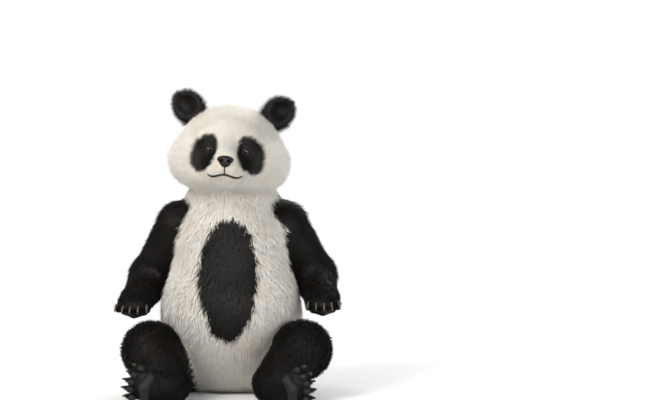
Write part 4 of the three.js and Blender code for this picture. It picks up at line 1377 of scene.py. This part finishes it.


# painted shade: the white coat's darker, yellower root is partly shade among the tufts, partly its creamy
# colour
white_hair = hair_material(
    "white_hair", root=(0.7, 0.62, 0.51), tip=(0.89, 0.86, 0.8), stain=(0.74, 0.62, 0.46), stain_amount=0.35,
    variation=0.16, roughness=0.62, sheen=0.1, gloss=0.3,
)
black_hair = hair_material(
    "black_hair", root=(0.004, 0.0033, 0.003), tip=(0.014, 0.0115, 0.0095), stain=(0.9, 0.7, 0.55),
    stain_amount=0.5, variation=0.65, roughness=0.46, sheen=0.0, gloss=0.13,
)

# %% The skin under the coat: the same two colours by its mark, as short underfur, darker as painted shade between tufts
skin_material, tree, shader = new_material("underfur_in_shade")
mark = add(tree, "ShaderNodeAttribute", attribute_name="mark").outputs["Fac"]
place = object_place(tree)
mottle = noise(tree, place, 160.0, 4.0)
# painted shade: the skin's white is darker than the hair, so that gaps between tufts read as fur in shade
white = ramp(tree, mottle, [(0.3, (0.5, 0.43, 0.34)), (0.7, (0.74, 0.68, 0.58))])
black = ramp(tree, mottle, [(0.3, (0.008, 0.006, 0.005)), (0.7, (0.02, 0.016, 0.013))])
feed(tree, shader, {
    "Base Color": mix_colour(tree, mark, white, black),
    "Normal": relief(tree, noise(tree, place, 420.0, 3.0), 0.6, 0.002),
    "Roughness": 0.85,
})

# %% Eye: iris and a wider dark rim by the distance from its middle, and the slit pupil
eye_material, tree, shader = new_material("eye")
uv = add(tree, "ShaderNodeUVMap", uv_map="front").outputs["UV"]
centred = add(tree, "ShaderNodeVectorMath", {0: uv, 1: (0.5, 0.5, 0.0)}, operation="SUBTRACT").outputs[0]
from_middle = add(tree, "ShaderNodeVectorMath", {0: centred}, operation="LENGTH").outputs["Value"]
iris = ramp(tree, from_middle, [
    (0.0, (0.012, 0.006, 0.003)), (0.22, (0.028, 0.012, 0.005)), (0.31, (0.008, 0.004, 0.003)),
    (0.36, (0.006, 0.004, 0.0035)), (0.46, (0.03, 0.02, 0.018)),
])
narrow = add(tree, "ShaderNodeVectorMath", {0: centred, 1: (3.2, 1.0, 1.0)}, operation="MULTIPLY").outputs[0]
slit = add(tree, "ShaderNodeVectorMath", {0: narrow}, operation="LENGTH").outputs["Value"]
pupil = ramp(tree, slit, [(0.15, grey(1)), (0.19, grey(0))])
feed(tree, shader, {
    "Base Color": mix_colour(tree, pupil, iris, (0.002, 0.0015, 0.001, 1)),
    "Roughness": 0.06,
    "Specular IOR Level": 0.1,
    "Coat Weight": 0.4,
    "Coat Roughness": 0.02,
})


# %% Bare skin of the nose, lips, lids and pads
def leather(name, dark, light, scale, roughness, depth, gloss):
    """Pebbled bare skin: rounded cells for the pebbles, scale to the metre, and a slow noise for colour."""
    material, tree, shader = new_material(name)
    place = object_place(tree)
    slow = noise(tree, place, 90.0, 4.0)
    cells = add(tree, "ShaderNodeTexVoronoi", {"Vector": place, "Scale": scale}, feature="SMOOTH_F1")
    height = ramp(tree, cells.outputs["Distance"], [(0.1, grey(1)), (0.7, grey(0))])
    feed(tree, shader, {
        "Base Color": ramp(tree, slow, [(0.3, dark), (0.7, light)]),
        "Normal": relief(tree, height, 0.7, depth),
        "Roughness": ramp(tree, slow, [(0.3, grey(roughness - 0.08)), (0.7, grey(roughness + 0.1))]),
        "Specular IOR Level": gloss,
    })
    return material


nose_leather = leather(
    "nose_leather", (0.004, 0.0035, 0.0035), (0.011, 0.009, 0.0085), 620.0, 0.34, 0.0006, 0.22
)
lip_skin = leather("lip_skin", (0.004, 0.0035, 0.0035), (0.01, 0.0075, 0.007), 900.0, 0.45, 0.0003, 0.3)
lid_skin = leather("lid_skin", (0.004, 0.0035, 0.003), (0.008, 0.0065, 0.006), 900.0, 0.5, 0.0004, 0.3)
pad_leather = leather(
    "pad_leather", (0.005, 0.0045, 0.0042), (0.015, 0.0125, 0.0115), 300.0, 0.62, 0.0014, 0.2
)

# %% Horn, with streaks along the claws
horn, tree, shader = new_material("horn")
stretch = {"Vector": object_place(tree), "Scale": (60.0, 60.0, 260.0)}
streaks = noise(tree, add(tree, "ShaderNodeMapping", stretch).outputs[0], 3.0, 3.0)
horn_colour = ramp(tree, streaks, [(0.3, (0.022, 0.017, 0.013)), (0.75, (0.09, 0.072, 0.055))])
feed(tree, shader, {"Base Color": horn_colour, "Roughness": 0.32})


# %% Materials to pieces, and pieces to the frame
def finish(thing, material):
    """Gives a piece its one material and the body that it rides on."""
    thing.data.materials.clear()
    thing.data.materials.append(material)
    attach(thing, "root")


finish(skin, skin_material)
for thing in coat_pieces["white"]:
    finish(thing, white_hair)
for thing in coat_pieces["black"]:
    finish(thing, black_hair)
for thing in eyes.values():
    finish(thing, eye_material)
for thing in lid_pieces:
    finish(thing, lid_skin)
finish(lips, lip_skin)
finish(nose_pad, nose_leather)
for thing in pad_pieces:
    finish(thing, pad_leather)
for thing in claw_pieces:
    finish(thing, horn)
FLESH = ["head", "muzzle", "lower_jaw", "neck", "torso", "belly_mark", "shoulders", "tail"]
ON_EACH_SIDE = ["ear", "eye_patch", "upper_arm", "forearm", "forepaw", "thigh", "shank", "hindfoot"]
for name in LIMBS:
    FLESH += [f"{part}_{name}" for part in ON_EACH_SIDE]
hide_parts(*FLESH)
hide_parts("nose")
for name in LIMBS:
    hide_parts("eye_" + name)
print("replaced", len(FLESH) + 3, "of", len(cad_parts), "nodes")

# %% [markdown]
# ## Floor, light and camera
# A studio sweep would stand in the way of a camera that walks round the animal. So the floor is a flat, round
# sheet of pale paper whose edge fades into a bright, even room, and large soft lights show the coat without
# hard shadows. A tall narrow light by the camera, which matt surfaces don't see, puts an upright glint in
# each eye.

# %% Round paper floor
FLOOR_RADIUS, FADE_FROM = 3.4, 1.1


def disc(radius, rings=24, sides=96):
    """Rings of radius r = radius · (ring / rings), closed by a fan at the middle."""
    r = radius * np.arange(1, rings + 1)[:, None] / rings
    a = full_turn(sides)[None]
    rows = np.stack([r * np.cos(a), r * np.sin(a), 0 * r * a], -1)
    points = np.concatenate([rows.reshape(-1, 3), np.zeros((1, 3))])
    faces = [grid_faces(rings, sides)[:, ::-1], fan(rings * sides, 0, sides)]
    return mesh_object("paper_floor", points, faces)


paper = disc(FLOOR_RADIUS)
paper_material, tree, shader = new_material("paper")
place = object_place(tree)
from_centre = add(tree, "ShaderNodeVectorMath", {0: place}, operation="LENGTH").outputs["Value"]
fade = {"Value": from_centre, 1: FADE_FROM, 2: FLOOR_RADIUS - 0.1, 3: 1.0, 4: 0.0}
feed(tree, shader, {
    "Base Color": ramp(tree, noise(tree, place, 3.0, 2.0), [(0.3, grey(0.9)), (0.7, grey(0.93))]),
    "Alpha": add(tree, "ShaderNodeMapRange", fade, interpolation_type="SMOOTHSTEP").outputs[0],
    "Roughness": 0.9,
    "Specular IOR Level": 0.1,
})
paper.data.materials.append(paper_material)


# %% Lights
def soft_light(name, at, towards, size, watts, colour=(1, 1, 1)):
    """An oblong light at one place that faces another, in metres."""
    lamp = bpy.data.lights.new(name, "AREA")
    lamp.shape, lamp.size, lamp.size_y, lamp.energy, lamp.color = "RECTANGLE", size[0], size[1], watts, colour
    thing = bpy.data.objects.new(name, lamp)
    bpy.context.scene.collection.objects.link(thing)
    thing.location = at
    way = np.array(towards, float) - np.array(at, float)
    flat = math.hypot(way[0], way[1])
    thing.rotation_euler = (math.atan2(flat, -way[2]), 0, math.atan2(-way[0], way[1]))
    return thing


soft_light("key", (-2.2, -3.0, 3.0), (0, 0, 0.6), (2.0, 2.0), 165, (1, 0.98, 0.95))
soft_light("fill", (2.7, -3.2, 1.1), (0, 0, 0.45), (2.4, 1.8), 62, (0.96, 0.98, 1))
soft_light("rim", (0.8, 2.6, 2.9), (0, 0, 0.7), (2.6, 1.2), 62)
glint = soft_light("glint", (0.1, -3.2, 1.25), (0, 0, 0.86), (0.3, 1.6), 85)
glint.visible_diffuse = False

# %% The room: white to the camera, softer as a light
ROOM_SEEN, ROOM_LIGHT = 1.02, 0.6
world = bpy.data.worlds.new("studio")
world.use_nodes = True
tree = world.node_tree
is_camera = add(tree, "ShaderNodeLightPath").outputs["Is Camera Ray"]
strength = add(tree, "ShaderNodeMapRange", {"Value": is_camera, 3: ROOM_LIGHT, 4: ROOM_SEEN}).outputs[0]
feed(tree, tree.nodes["Background"], {"Color": (1, 1, 1, 1), "Strength": strength})
bpy.context.scene.world = world
bpy.context.scene.view_settings.view_transform = "Standard"

# %% Camera
camera_data = bpy.data.cameras.new("camera")
camera = bpy.data.objects.new("camera", camera_data)
bpy.context.scene.collection.objects.link(camera)
CAMERA_AT = (0.333, -5.2, 0.69)
camera_data.sensor_width = 36.0
camera_data.lens = 80.0
camera.location = CAMERA_AT
camera.rotation_euler = (math.radians(90), 0, 0)
bpy.context.scene.camera = camera
